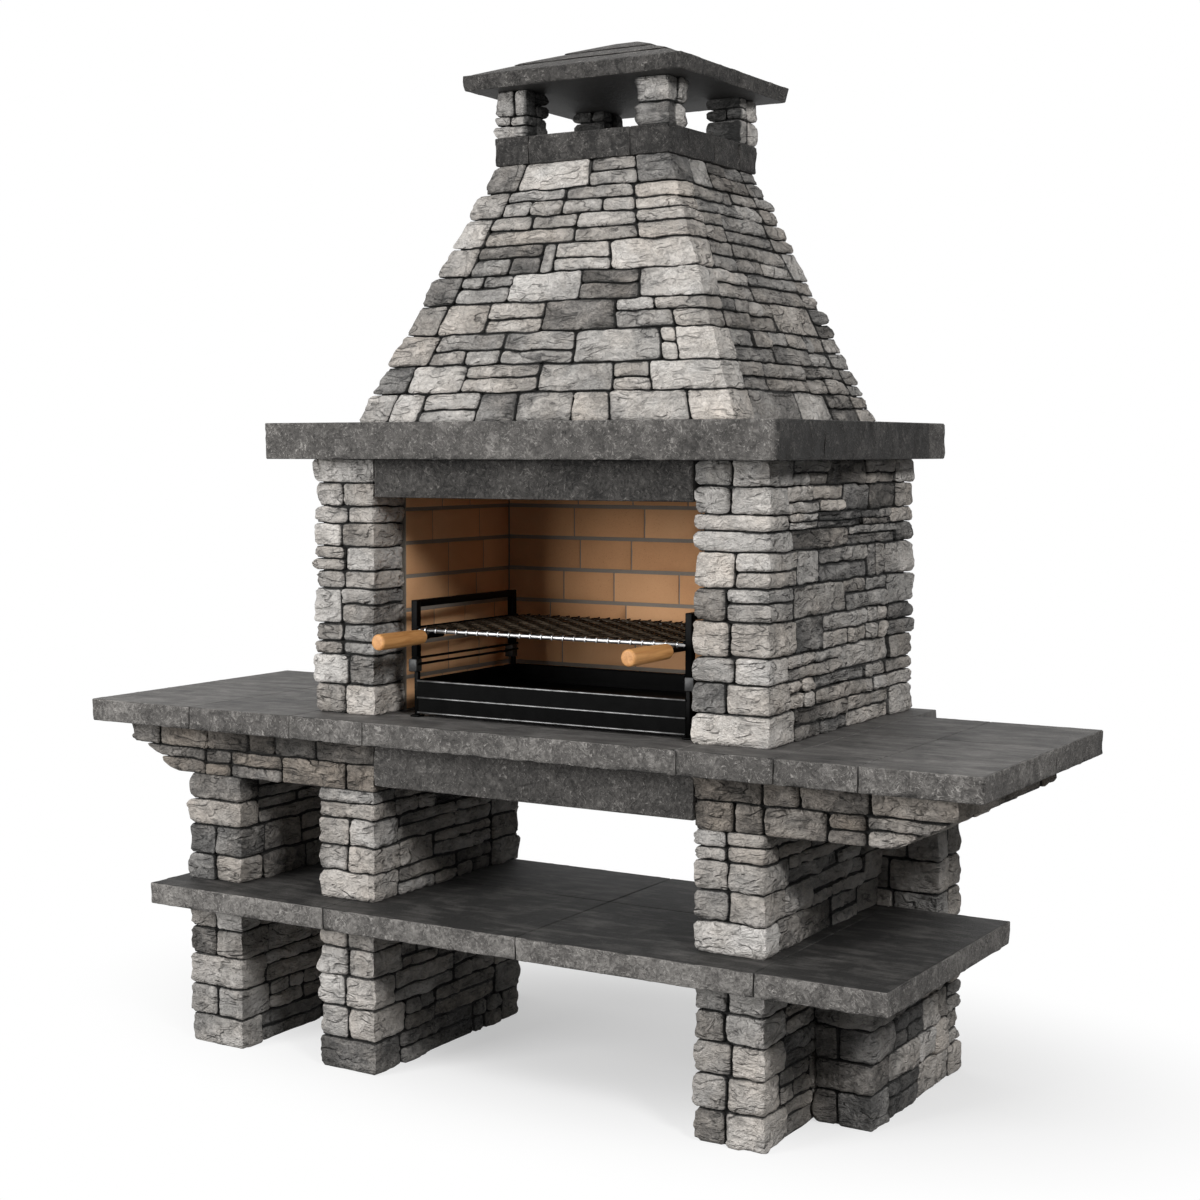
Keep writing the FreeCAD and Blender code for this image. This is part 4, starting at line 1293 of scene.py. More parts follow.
def panel(start: np.ndarray, end: np.ndarray, depth: float) -> np.ndarray:
    """Plan corners of a panel, whose depth lies on the left of its outer face.

    Args:
        start: the outer face's near end.
        end: its far end.
        depth: the panel's depth.
    Returns:
        The four corners.
    """
    way = (end - start) / np.linalg.norm(end - start)
    inward = np.array([-way[1], way[0]]) * depth
    return np.array([start, end, end + inward, start + inward])


def ring_core(plan: Plan, top: Plan, span: tuple, wall: float) -> Surface:
    """The bed of four walls round a hollow.

    Args:
        plan: the outline at the foot.
        top: the outline at the head.
        span: heights of foot and head.
        wall: the walls' depth.
    Returns:
        The surface.
    """
    blocks = Blocks()
    for side in range(4):
        low, high = (panel(*outline.side(side), wall) for outline in (plan, top))
        blocks.add(low, high, span)
    return blocks.dress(FLUSH)


# Sub-assemblies

@dataclass
class Piers:
    """The stone piers under the shelf and under the worktop."""

    stone_depth: float = 0.08
    quoin: tuple = (0.075, 0.13)
    deep_from: float = 0.3
    first_seed: int = 11
    fronts: dict = field(default_factory=lambda: {
        "pier_outer_left_lower": ("100W.", "50W. 50W.", "100W.", "50W- 50W.", "50W. 50W."),
        "pier_outer_left_upper": ("48W- 52W.", "50W- 50W-", "100W.", "100W-"),
        "pier_inner_left_lower": ("100W-", "52W+ 48W+", "45W+ 55W+", "52W+ 48W+", "50W+ 50W."),
        "pier_inner_left_upper": ("100W+", "52W. 48W+", "55W. 45W.", "100S."),
        "pier_inner_right_lower": ("43W- 57W+", "45W. 55W+", "52W. 48W+", "42W. 58W+", "47W. 53W+"),
        "pier_inner_right_upper": ("100W+", "47W. 53W.", "48W. 52W.", "45S. 55S."),
        "side_pier_right": ("38W- 62W-", "100W-", "40W- 60W-", "100W-", "100W-"),
        "rear_pier_right": ("40W. 60W+", "62W+ 38W+", "45W+ 55W.") * 3,
        "rear_pier_left": ("100W.", "46W. 54W-", "56W. 44W.") * 3})

    def build(self) -> None:
        """Lay each pier's courses round its rectangle."""
        for seed, (node, layouts) in enumerate(self.fronts.items(), start=self.first_seed):
            mason = Mason(seed)
            plan, span = Plan.of(node), heights(node)
            deep = plan.back - plan.front > self.deep_from
            long = DARK_SIDE if node.startswith("side") else LONG_SIDE
            fields = (NARROW, long) * 2 if deep else (NARROW,) * 4
            for layout, (course, beds) in zip(layouts, mason.even_courses(span, len(layouts))):
                quoins = mason.rng.uniform(*self.quoin, 4) if deep else np.full(4, (plan.back - plan.front) / 2)
                mason.ring(plan, plan, course, self.stone_depth, fields, tuple(quoins), beds, layout)
            piece = Piece(f"{node}_stones", (node,))
            piece.add(mason.surface(), WALL_STONE).add(core(plan.inside(BED_DEPTH), span), JOINT_SHADE).make()


@dataclass
class Corbels:
    """Two-course corbels with bevelled outer ends, and the beams between them."""

    left_bevel: tuple = (0.145, 0.048)
    right_bevel: tuple = (0.134, 0.014)
    # The corbels' dark tones are partly painted shade under the worktop, and the '=' stones of the left upper course
    # paint the slab's shadow.
    left_front: tuple = ("230S- 95S- 190S- 225W- 100W-", "100W- 170W- 130W= 90W= 135W= 185W=")
    right_front: tuple = ("140W- 100W- 215W- 125S- 270S.", "230W- 125W- 225W- 275W.")
    stone_depth: float = 0.10
    # Tone partly the beam's own and partly painted shade from the worktop over it.
    beam_tone_and_shade: float = 0.40

    def build(self) -> None:
        """Lay the corbels and cast the beams."""
        self.lay_corbel(Face.LEFT, self.left_front, self.left_bevel, 31)
        self.lay_corbel(Face.RIGHT, self.right_front, self.right_bevel, 32)
        for seed, node in enumerate(("hearth_beam_front", "hearth_beam_rear"), start=35):
            SlabSet(node, seed, SMOOTH_CAST, tone=self.beam_tone_and_shade).build()

    def lay_corbel(self, side: Face, fronts: tuple, bevel: tuple, seed: int) -> None:
        """Lay a course whose outer end leans out, and a straight course on it.

        Args:
            side: left or right.
            fronts: the front's stretches by course.
            bevel: how far the lower course's outer end is moved in at its foot and head.
            seed: picks the stones.
        """
        node = f"corbel_{side.value}"
        mason = Mason(seed)
        full, (foot, head) = Plan.of(node), heights(node)
        middle = (foot + head) / 2
        leaning = [full.shrunk(inset, 0, 0, 0) if side is Face.LEFT else full.shrunk(0, inset, 0, 0)
                   for inset in bevel]
        rows = ((*leaning, (foot, middle), (0, 1)), (full, full, (middle, head), (1, 0)))
        piece = Piece(f"{node}_stones", (node,))
        for (low, high, span, beds), layout in zip(rows, fronts):
            mason.ring(low, high, span, self.stone_depth, (CORBEL_FIELD,) * 4, (self.stone_depth,) * 4, beds, layout,
                       upright=True)
            piece.add(core(low.inside(BED_DEPTH), span, high.inside(BED_DEPTH)), JOINT_SHADE)
        piece.parts.insert(0, (mason.surface(), WALL_STONE))
        piece.make()


@dataclass
class SlabSet:
    """A cast slab, whole or cut into tiles."""

    node: str
    seed: int
    dressing: Dressing = ROUGH_EDGE
    across: tuple = ()
    deep: tuple = ()
    shown: tuple = (1, 1, 1, 1)
    tone: float = 0.5
    # Painted shade on the unworked faces, the top above all.
    unworked_shade: float = 0.0
    tone_spread: float = 0.06
    # Painted shade: how much darker the band at the slab's right end is.
    right_end_shade: float = 0.0
    end_band: tuple = (0.014, 0.007)

    def build(self) -> None:
        """Cut the node's box at shares of its width and depth, and work each tile's outer edges."""
        low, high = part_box(self.node)
        rng = np.random.default_rng(self.seed)
        blocks = Blocks()
        xs = low.x + (high.x - low.x) * np.array([0.0, *self.across, 1.0])
        ys = low.y + (high.y - low.y) * np.array([0.0, *self.deep, 1.0])
        for column in range(len(xs) - 1):
            for row in range(len(ys) - 1):
                outer = (row == 0, column == len(xs) - 2, row == len(ys) - 2, column == 0)
                shown = tuple(int(is_outer and in_view) for is_outer, in_view in zip(outer, self.shown))
                blocks.box((xs[column], ys[row], low.z), (xs[column + 1], ys[row + 1], high.z), shown=shown,
                           look=(self.tone + rng.uniform(-self.tone_spread, self.tone_spread), self.unworked_shade))
        surface = blocks.dress(self.dressing, self.seed)
        # Painted shade: darken the tone near the right end.
        at_end = step_up(surface.points[:, 0], *(high.x - depth for depth in self.end_band))
        surface.look[:, 0] -= self.right_end_shade * at_end
        Piece(f"{self.node}_cast", (self.node,)).add(surface, DARK_SLAB).make()


@dataclass
class Worktop:
    """Worktop, hearth and shelf slabs."""

    tile_depth: float = 0.57
    left_joint: float = 0.51
    shelf_joint: float = 0.48

    def build(self) -> None:
        """Cast the slabs, with the wings cut into tiles."""
        tiles = (self.tile_depth,)
        front_back, left_end, right_end = (1, 0, 1, 0), (1, 0, 1, 1), (1, 1, 1, 0)
        for slab in (
                SlabSet("worktop_left_slab", 41, across=(self.left_joint,), deep=tiles, shown=left_end),
                SlabSet("hearth_pad_left", 42, shown=front_back),
                SlabSet("hearth_slab", 43, shown=front_back),
                SlabSet("hearth_pad_right", 44, shown=front_back),
                # Painted shade: right wing tops darkened where the tower shades them, shelf tops where the worktop
                # does; the shelf's higher tone is painted light on its edges.
                SlabSet("worktop_right_inner_slab", 45, deep=tiles, shown=front_back, unworked_shade=0.06),
                SlabSet("worktop_right_outer_slab", 46, deep=tiles, shown=right_end, unworked_shade=0.06),
                SlabSet("shelf_left_slab", 47, shown=left_end, tone=0.66, unworked_shade=0.56),
                SlabSet("shelf_centre_slab", 48, across=(self.shelf_joint,), deep=tiles, shown=front_back, tone=0.64,
                        unworked_shade=0.56),
                SlabSet("shelf_right_slab", 49, shown=right_end, tone=0.58, unworked_shade=0.50)):
            slab.build()


@dataclass
class Firebox:
    """Stone columns and walls of the firebox, its lintel and its brick lining."""

    left_courses: tuple = (155, 160, 160, 185, 95, 130, 120, 90, 125, 125)
    right_courses: tuple = (150, 140, 122, 165, 155, 165, 98, 76, 130, 120)
    left_front: tuple = ("50W. 50W+", "55W+ 45W.", "100F.", "45W+ 55S.", "50W. 50W+", "50S. 50W+", "45W+ 55W.",
                         "55W. 45W+", "48W+ 52W.", "100W+")
    right_front: tuple = ("100W+", "42W- 58W+", "53W. 47W+", "46W. 54W+", "42W- 58S.", "53W+ 47S+", "100W+", "100W+",
                          "47W. 53W.", "49W. 51W.")
    quoin: tuple = (0.095, 0.155)
    side_share: float = 0.7
    rear_depth: float = 0.08
    brick: tuple = (0.105, 0.235)
    brick_draws: int = 12
    shortest_end: float = 0.06
    brick_courses: int = 7
    brick_depth: float = 0.05
    # The left lining's higher tones are painted light, as that wall gets less light than the back.
    brick_tones: dict = field(default_factory=lambda: {
        Face.LEFT: (0.55, 0.95), Face.RIGHT: (0.3, 0.7), Face.BACK: (0.3, 0.7)})
    mortar_depth: float = 0.0014
    # Tone partly the lintel's own and partly painted shade from the mantel over it.
    lintel_tone_and_shade: float = 0.20

    def build(self) -> None:
        """Lay the walls, then the lining, and cast the lintel."""
        self.lay_wall(Face.LEFT, self.left_courses, self.left_front, 51)
        self.lay_wall(Face.RIGHT, self.right_courses, self.right_front, 52)
        self.lay_rear(53)
        for seed, side in enumerate(self.brick_tones, start=60):
            self.lay_lining(side, seed)
        SlabSet("firebox_lintel", 55, SMOOTH_CAST, shown=(1, 0, 1, 0), tone=self.lintel_tone_and_shade).build()

    def lay_wall(self, side: Face, shares: tuple, layouts: tuple, seed: int) -> None:
        """Lay a column and the side wall behind it as one wall, with quoins at its outer corners.

        Args:
            side: left or right.
            shares: the courses' shares of the height, from the foot.
            layouts: the column's stretches by course.
            seed: picks the stones.
        """
        nodes = (f"column_{side.value}", f"side_wall_{side.value}")
        column, wall = (Plan.of(node) for node in nodes)
        span = heights(nodes[0])
        mason = Mason(seed)
        is_left = side is Face.LEFT
        jamb = column.back - column.front
        thick = wall.east - wall.west
        for layout, (course, beds) in zip(layouts, mason.courses(span, shares)):
            front_quoin, back_quoin = mason.rng.uniform(*self.quoin, 2)
            front = [(column.west, column.front), (column.east, column.front)]
            quoins = (front_quoin, jamb) if is_left else (jamb, front_quoin)
            mason.run(Face.FRONT, front, front, course, jamb, NARROW, quoins, beds, layout)
            outer = wall.west if is_left else wall.east
            edge = [(outer, column.front + front_quoin), (outer, wall.back - back_quoin)]
            edge = edge[::-1] if is_left else edge
            mason.run(side, edge, edge, course, thick * self.side_share, LONG_SIDE, beds=beds)
            rear = [(wall.east, wall.back), (wall.west, wall.back)]
            ends = (None, back_quoin) if is_left else (back_quoin, None)
            mason.run(Face.BACK, rear, rear, course, back_quoin, NARROW, ends, beds)
        piece = Piece(f"tower_{side.value}_stones", nodes).add(mason.surface(), WALL_STONE)
        piece.add(core(column.shrunk(BED_DEPTH, BED_DEPTH, BED_DEPTH, 0), span), JOINT_SHADE)
        outer_in, inner_in = (BED_DEPTH, 0) if is_left else (0, BED_DEPTH)
        piece.add(core(wall.shrunk(outer_in, inner_in, 0, BED_DEPTH), span), JOINT_SHADE).make()

    def lay_rear(self, seed: int) -> None:
        """Lay the rear wall's outer face.

        Args:
            seed: picks the stones.
        """
        plan, span = Plan.of("rear_wall"), heights("rear_wall")
        mason = Mason(seed)
        line = [(plan.east, plan.back), (plan.west, plan.back)]
        for course, beds in mason.courses(span, self.right_courses):
            mason.run(Face.BACK, line, line, course, self.rear_depth, LONG_SIDE, beds=beds)
        piece = Piece("rear_wall_stones", ("rear_wall",)).add(mason.surface(), WALL_STONE)
        piece.add(core(plan.shrunk(0, 0, 0, BED_DEPTH), span), JOINT_SHADE).make()

    def lay_lining(self, side: Face, seed: int) -> None:
        """Lay one side's bricks in courses of uneven lengths, with flush mortar behind them.

        Args:
            side: left, right or back.
            seed: picks the bricks.
        """
        node = f"firebrick_{side.value}"
        plan, span = Plan.of(node), heights(node)
        inner_back = Plan.of("firebrick_back").front
        start, end, mortar = {
            Face.LEFT: ((plan.east, plan.front), (plan.east, inner_back), (0, self.mortar_depth, 0, 0)),
            Face.RIGHT: ((plan.west, inner_back), (plan.west, plan.front), (self.mortar_depth, 0, 0, 0)),
            Face.BACK: ((plan.west, plan.front), (plan.east, plan.front), (0, 0, self.mortar_depth, 0))}[side]
        start, end = np.array(start), np.array(end)
        length = np.linalg.norm(end - start)
        way = (end - start) / length
        rng = np.random.default_rng(seed)
        blocks = Blocks()
        rise = (span[1] - span[0]) / self.brick_courses
        for course in range(self.brick_courses):
            ends = np.cumsum(rng.uniform(*self.brick, self.brick_draws))
            joints = np.array([0.0, *ends[ends < length - self.shortest_end], length])
            foot = span[0] + rise * course
            for near, far in zip(joints[:-1], joints[1:]):
                quad = panel(start + way * near, start + way * far, self.brick_depth)
                look = (rng.uniform(*self.brick_tones[side]), 0.0)
                blocks.add(quad, quad, (foot, foot + rise), (1, 0, 0, 0), (1, 1), look)
        piece = Piece(f"{node}_bricks", (node,)).add(blocks.dress(PRESSED, seed), LINING_BRICK)
        piece.add(core(plan.shrunk(*mortar), span), BRICK_MORTAR).make()


@dataclass
class Mantel:
    """Four slabs round the smoke opening."""

    front_tone: float = 0.49
    # Painted shade on the mantel's right side: the right slab's tone is set near black and the front slab's right end
    # is darkened.
    right_end_shade: float = 0.47
    left_tone: float = 0.44
    right_shaded_tone: float = 0.02
    rear_tone: float = 0.42

    def build(self) -> None:
        """Cast the slabs."""
        ends = (0, 1, 0, 1)
        for slab in (SlabSet("mantel_front", 71, tone=self.front_tone, right_end_shade=self.right_end_shade),
                     SlabSet("mantel_left_slab", 72, shown=ends, tone=self.left_tone),
                     SlabSet("mantel_right_slab", 73, shown=ends, tone=self.right_shaded_tone),
                     SlabSet("mantel_rear", 74, tone=self.rear_tone)):
            slab.build()


@dataclass
class Hood:
    """Four tapering stone walls, with squarish stones at the corners."""

    wall: float = 0.09
    stone_depth: float = 0.075
    quoin: tuple = (0.075, 0.105)
    top_inset: float = 0.002
    seed: int = 81
    front: tuple = ("87W. 88W+ 170S. 110W- 160W. 100W. 210W. 115W+", "97W- 160W+ 215S. 208W. 102S. 195W+",
                    "118W. 204L. 203S. 235W+ 45S+ 105W+", "90W. 135W+ 163S+ 200W- 250F.",
                    "92W- 150H. 200W+ 160S- 165W+", "95W. 190L- 40W. 155S+ 225W+", "87W+ 260H. 170S. 140S+",
                    "95W. 175L. 202L. 128S+", "97W- 194W+ 130S. 98W-")

    def build(self) -> None:
        """Lay the courses between the base and the collar, and the bed inside them."""
        nodes = ("hood_front", "hood_right", "hood_rear", "hood_left")
        base, top = Plan.of(*nodes), Plan.of("flue_collar").inside(self.top_inset)
        foot, head = heights(*nodes)
        mason = Mason(self.seed)
        for layout, (course, beds) in zip(self.front, mason.even_courses((foot, head), len(self.front))):
            low, high = (base.towards(top, (level - foot) / (head - foot)) for level in course)
            quoins = tuple(mason.rng.uniform(*self.quoin, 4))
            mason.ring(low, high, course, self.stone_depth, (HOOD_FIELD, HOOD_SIDE) * 2, quoins, beds, layout)
        piece = Piece("hood_stones", nodes).add(mason.surface(), WALL_STONE)
        bed = ring_core(base.inside(BED_DEPTH), top.inside(BED_DEPTH), (foot, head), self.wall - BED_DEPTH)
        piece.add(bed, JOINT_SHADE).make()


@dataclass
class Chimney:
    """Collar, corner posts, cap slab and stepped roof."""

    tiers: int = 3
    roof_inset: float = 0.008
    tier_lip: float = 0.009
    ridge_half: tuple = (0.030, 0.007)
    cap_chamfer: float = 0.006
    # Painted shade on the cap's flat faces, the underside in view among them.
    cap_flat_shade: float = 0.55
    post_size: float = 0.092
    collar_wall: float = 0.092
    front_joints: tuple = (0.20, 0.78)
    side_joints: tuple = (0.50,)
    collar_tone: tuple = (0.0, 0.10)
    cap_tone: float = 0.19
    roof_tone: float = 0.27
    post_spread: tuple = (0.8, 1.2)
    post_stone: float = 0.4
    post_flue_shade: float = 0.95
    flue_shade_range: tuple = (0.36, 0.46)
    collar_seed: int = 91
    post_seed: int = 94
    cap_seed: int = 99
    roof_seed: int = 100

    def build(self) -> None:
        """Cast the collar and roof and lay the posts."""
        self.cast_collar()
        self.lay_posts()
        self.cast_roof()

    def cast_collar(self) -> None:
        """Cut the collar's ring into tiles."""
        plan, span = Plan.of("flue_collar"), heights("flue_collar")
        rng = np.random.default_rng(self.collar_seed)
        blocks = Blocks()
        for side in range(4):
            a, b = plan.side(side)
            way = (b - a) / np.linalg.norm(b - a)
            through = side % 2 == 0
            a, b = (a, b) if through else (a + way * self.collar_wall, b - way * self.collar_wall)
            joints = np.array([0.0, *(self.front_joints if through else self.side_joints), 1.0])
            for near, far in zip(joints[:-1], joints[1:]):
                quad = panel(a + (b - a) * near, a + (b - a) * far, self.collar_wall)
                shown = (1, int(through and far == 1), 1, int(through and near == 0))
                blocks.add(quad, quad, span, shown, look=(rng.uniform(*self.collar_tone), 0.0))
        Piece("flue_collar_cast", ("flue_collar",)).add(blocks.dress(ROUGH_EDGE, self.collar_seed), DARK_SLAB).make()

    def lay_posts(self) -> None:
        """Lay two courses of small stones round each post, with painted shade on the faces towards the flue."""
        whole, span = Plan.of("chimney_posts"), heights("chimney_posts")
        flue = np.array([whole.west + whole.east, whole.front + whole.back]) / 2
        size = self.post_size
        piece = Piece("chimney_post_stones", ("chimney_posts",))
        corners = [(west, front) for front in (whole.front, whole.back - size)
                   for west in (whole.west, whole.east - size)]
        for seed, (west, front) in enumerate(corners, start=self.post_seed):
            mason = Mason(seed)
            plan = Plan(west, west + size, front, front + size)
            for course, beds in mason.courses(span, mason.rng.uniform(*self.post_spread, 2)):
                mason.ring(plan, plan, course, size * self.post_stone, (POST_FIELD,) * 4, (size / 2,) * 4, beds)
            stones = mason.surface()
            centre = plan.corners().mean(axis=0)
            reach = ((stones.points[:, :2] - centre) * np.sign(flue - centre)).max(axis=1)
            # Painted shade: the stones darken towards the faces that look in to the flue, where the cap and posts
            # shade them.
            stones.look[:, 0] *= 1 - self.post_flue_shade * step_up(reach, *(share * size for share in self.flue_shade_range))
            piece.add(stones, WALL_STONE).add(core(plan.inside(BED_DEPTH), span), JOINT_SHADE)
        piece.make()

    def cast_roof(self) -> None:
        """Cast the chamfered cap slab and the tapering tiers on it."""
        cap, span = Plan.of("cap_slab"), heights("cap_slab")
        blocks = Blocks()
        # The cap's flat faces take painted shade through the look's second channel.
        blocks.add(cap.inside(self.cap_chamfer).corners(), cap.corners(), span, look=(self.cap_tone, self.cap_flat_shade))
        Piece("cap_slab_cast", ("cap_slab",)).add(blocks.dress(ROUGH_EDGE, self.cap_seed), DARK_SLAB).make()
        foot, head = heights("cap_roof")
        middle = np.array([(cap.west + cap.east) / 2, (cap.front + cap.back) / 2])
        outer = np.array([(cap.east - cap.west) / 2, (cap.back - cap.front) / 2]) - self.roof_inset
        tiers = Blocks()
        rise = (head - foot) / self.tiers
        for tier in range(self.tiers):
            plans = []
            for level, lip in ((tier, self.tier_lip if tier else 0.0), (tier + 1, 0.0)):
                half = outer + (np.array(self.ridge_half) - outer) * level / self.tiers + lip
                plans.append(Plan(middle[0] - half[0], middle[0] + half[0], middle[1] - half[1],
                                  middle[1] + half[1]).corners())
            tiers.add(plans[0], plans[1], (foot + rise * tier, foot + rise * (tier + 1)), look=(self.roof_tone, 0.0))
        Piece("cap_roof_cast", ("cap_roof",)).add(tiers.dress(SMOOTH_CAST, self.roof_seed), DARK_SLAB).make()


@dataclass
class FireStand:
    """Stands, sleeves and side frames that carry the tray and the grate."""

    bar: float = 0.010
    foot: tuple = (0.024, 0.005)
    sleeve: float = 0.022
    upright: float = 0.016
    guide: float = 0.006
    bearer: tuple = (0.015, 0.003)
    bearer_gap: float = 0.0003
    runner_top: float = 0.011
    slot_step: float = 0.0073
    low_slot: float = 0.131
    grate_height: float = 0.202
    rod_steps: int = 5

    def build(self) -> None:
        """Make both sides."""
        sleeves = Blocks()
        foot, head = heights("post_sleeves")
        half = self.sleeve / 2
        for side in SIDES:
            low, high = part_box(f"side_frame_{side.value}")
            plane = high.x - self.guide if side is Face.LEFT else low.x + self.guide
            ends = (low.y + self.upright / 2, high.y - self.upright / 2)
            self.make_stand(side, plane, ends)
            self.make_frame(side, plane, ends)
            west, east = sorted((plane, plane + side.out * self.sleeve))
            for y in ends:
                sleeves.box((west, y - half, foot), (east, y + half, head))
        Piece("sleeves", ("post_sleeves",)).add(sleeves.dress(SLEEVE_STOCK), GREY_STEEL).make()

    def make_stand(self, side: Face, plane: float, ends: tuple) -> None:
        """Feet, posts, bearer and runner of one side.

        Args:
            side: left or right.
            ends: y of the front and rear posts.
        """
        node = f"stand_{side.value}"
        floor, head = heights(node)
        blocks = Blocks()
        middle = plane + side.out * self.bar / 2
        west, east = sorted((plane, plane + side.out * self.bar))
        half, foot_half = self.bar / 2, self.foot[0] / 2
        for y in ends:
            blocks.box((middle - foot_half, y - foot_half, floor),
                       (middle + foot_half, y + foot_half, floor + self.foot[1]))
            blocks.box((west, y - half, floor + self.foot[1]), (east, y + half, head))
        west, east = sorted((plane, plane - side.out * self.bearer[0]))
        for top in (heights("charcoal_tray")[0] - self.bearer_gap, floor + self.runner_top):
            blocks.box((west, ends[0] + half, top - self.bearer[1]), (east, ends[1] + half, top))
        Piece(f"{node}_bars", (node,)).add(blocks.dress(BAR_STOCK), BLACK_STEEL).make()

    def make_frame(self, side: Face, plane: float, ends: tuple) -> None:
        """Uprights, top bar and guide rods of one side.

        Args:
            side: left or right.
            ends: y of the front and rear uprights.
        """
        node = f"side_frame_{side.value}"
        foot, head = heights("post_sleeves")[1], heights(node)[1]
        hearth = heights("hearth_slab")[1]
        west, east = sorted((plane, plane + side.out * self.upright))
        half = self.upright / 2
        blocks = Blocks()
        for y in ends:
            blocks.box((west, y - half, foot), (east, y + half, head))
        blocks.box((west, ends[0] + half, head - self.upright), (east, ends[1] - half, head))
        x = plane - side.out * self.guide / 2
        levels = [hearth + level + step for level in (self.low_slot, self.grate_height)
                  for step in (-self.slot_step, self.slot_step)]
        rods = [np.linspace((x, ends[0] - half, z), (x, ends[1] + half, z), self.rod_steps) for z in levels]
        piece = Piece(f"{node}_bars", (node,)).add(blocks.dress(BAR_STOCK), BLACK_STEEL)
        piece.add(tubes(np.array(rods), self.guide / 2, sides=10), BLACK_STEEL).make()


@dataclass
class Tray:
    """Charcoal tray and ash drawer: the folded sheets stay, with bright rims and a rolled hem."""

    rim: float = 0.005
    hem: float = 0.0022
    hem_inset: float = 0.001
    hem_drop: float = 0.4
    hem_steps: int = 6
    rail_steps: int = 9

    def build(self) -> None:
        """Paint the sheets and add rims, lip and hem."""
        for node in ("charcoal_tray", "ash_drawer"):
            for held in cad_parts[node].material_slots:
                held.material = BLACK_STEEL.material()
            log.info("%s: sheet painted", node)
        low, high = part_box("tray_front_rims")
        y = (low.y + high.y) / 2
        levels = (low.z + self.rim / 2, high.z - self.rim / 2)
        self.make_rails(Piece("tray_rims", ("tray_front_rims",)), (low.x, high.x), y, levels)
        low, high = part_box("drawer_lip")
        lip = Piece("drawer_lip_rail", ("drawer_lip",), "drawer")
        self.make_rails(lip, (low.x, high.x), y, ((low.z + high.z) / 2,))
        low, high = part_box("charcoal_tray")
        z = high.z - self.hem * self.hem_drop
        edge = Plan(low.x, high.x, low.y, high.y).inside(self.hem_inset)
        corners = np.column_stack([np.roll(edge.corners()[::-1], 1, axis=0), np.full(4, z)])
        paths = np.array([np.linspace(a, b, self.hem_steps) for a, b in zip(corners[:-1], corners[1:])])
        Piece("tray_hem", ()).add(tubes(paths, self.hem, sides=8), BLACK_STEEL).make()

    def make_rails(self, piece: Piece, ends: tuple, y: float, levels: tuple) -> None:
        """Round rails along x, one over another.

        Args:
            piece: takes the rails.
            ends: x of their ends.
            y: how far back they lie.
            levels: their heights.
        """
        paths = np.array([np.linspace((ends[0], y, z), (ends[1], y, z), self.rail_steps) for z in levels])
        piece.add(tubes(paths, self.rim / 2, sides=12), RIM_STEEL).make()


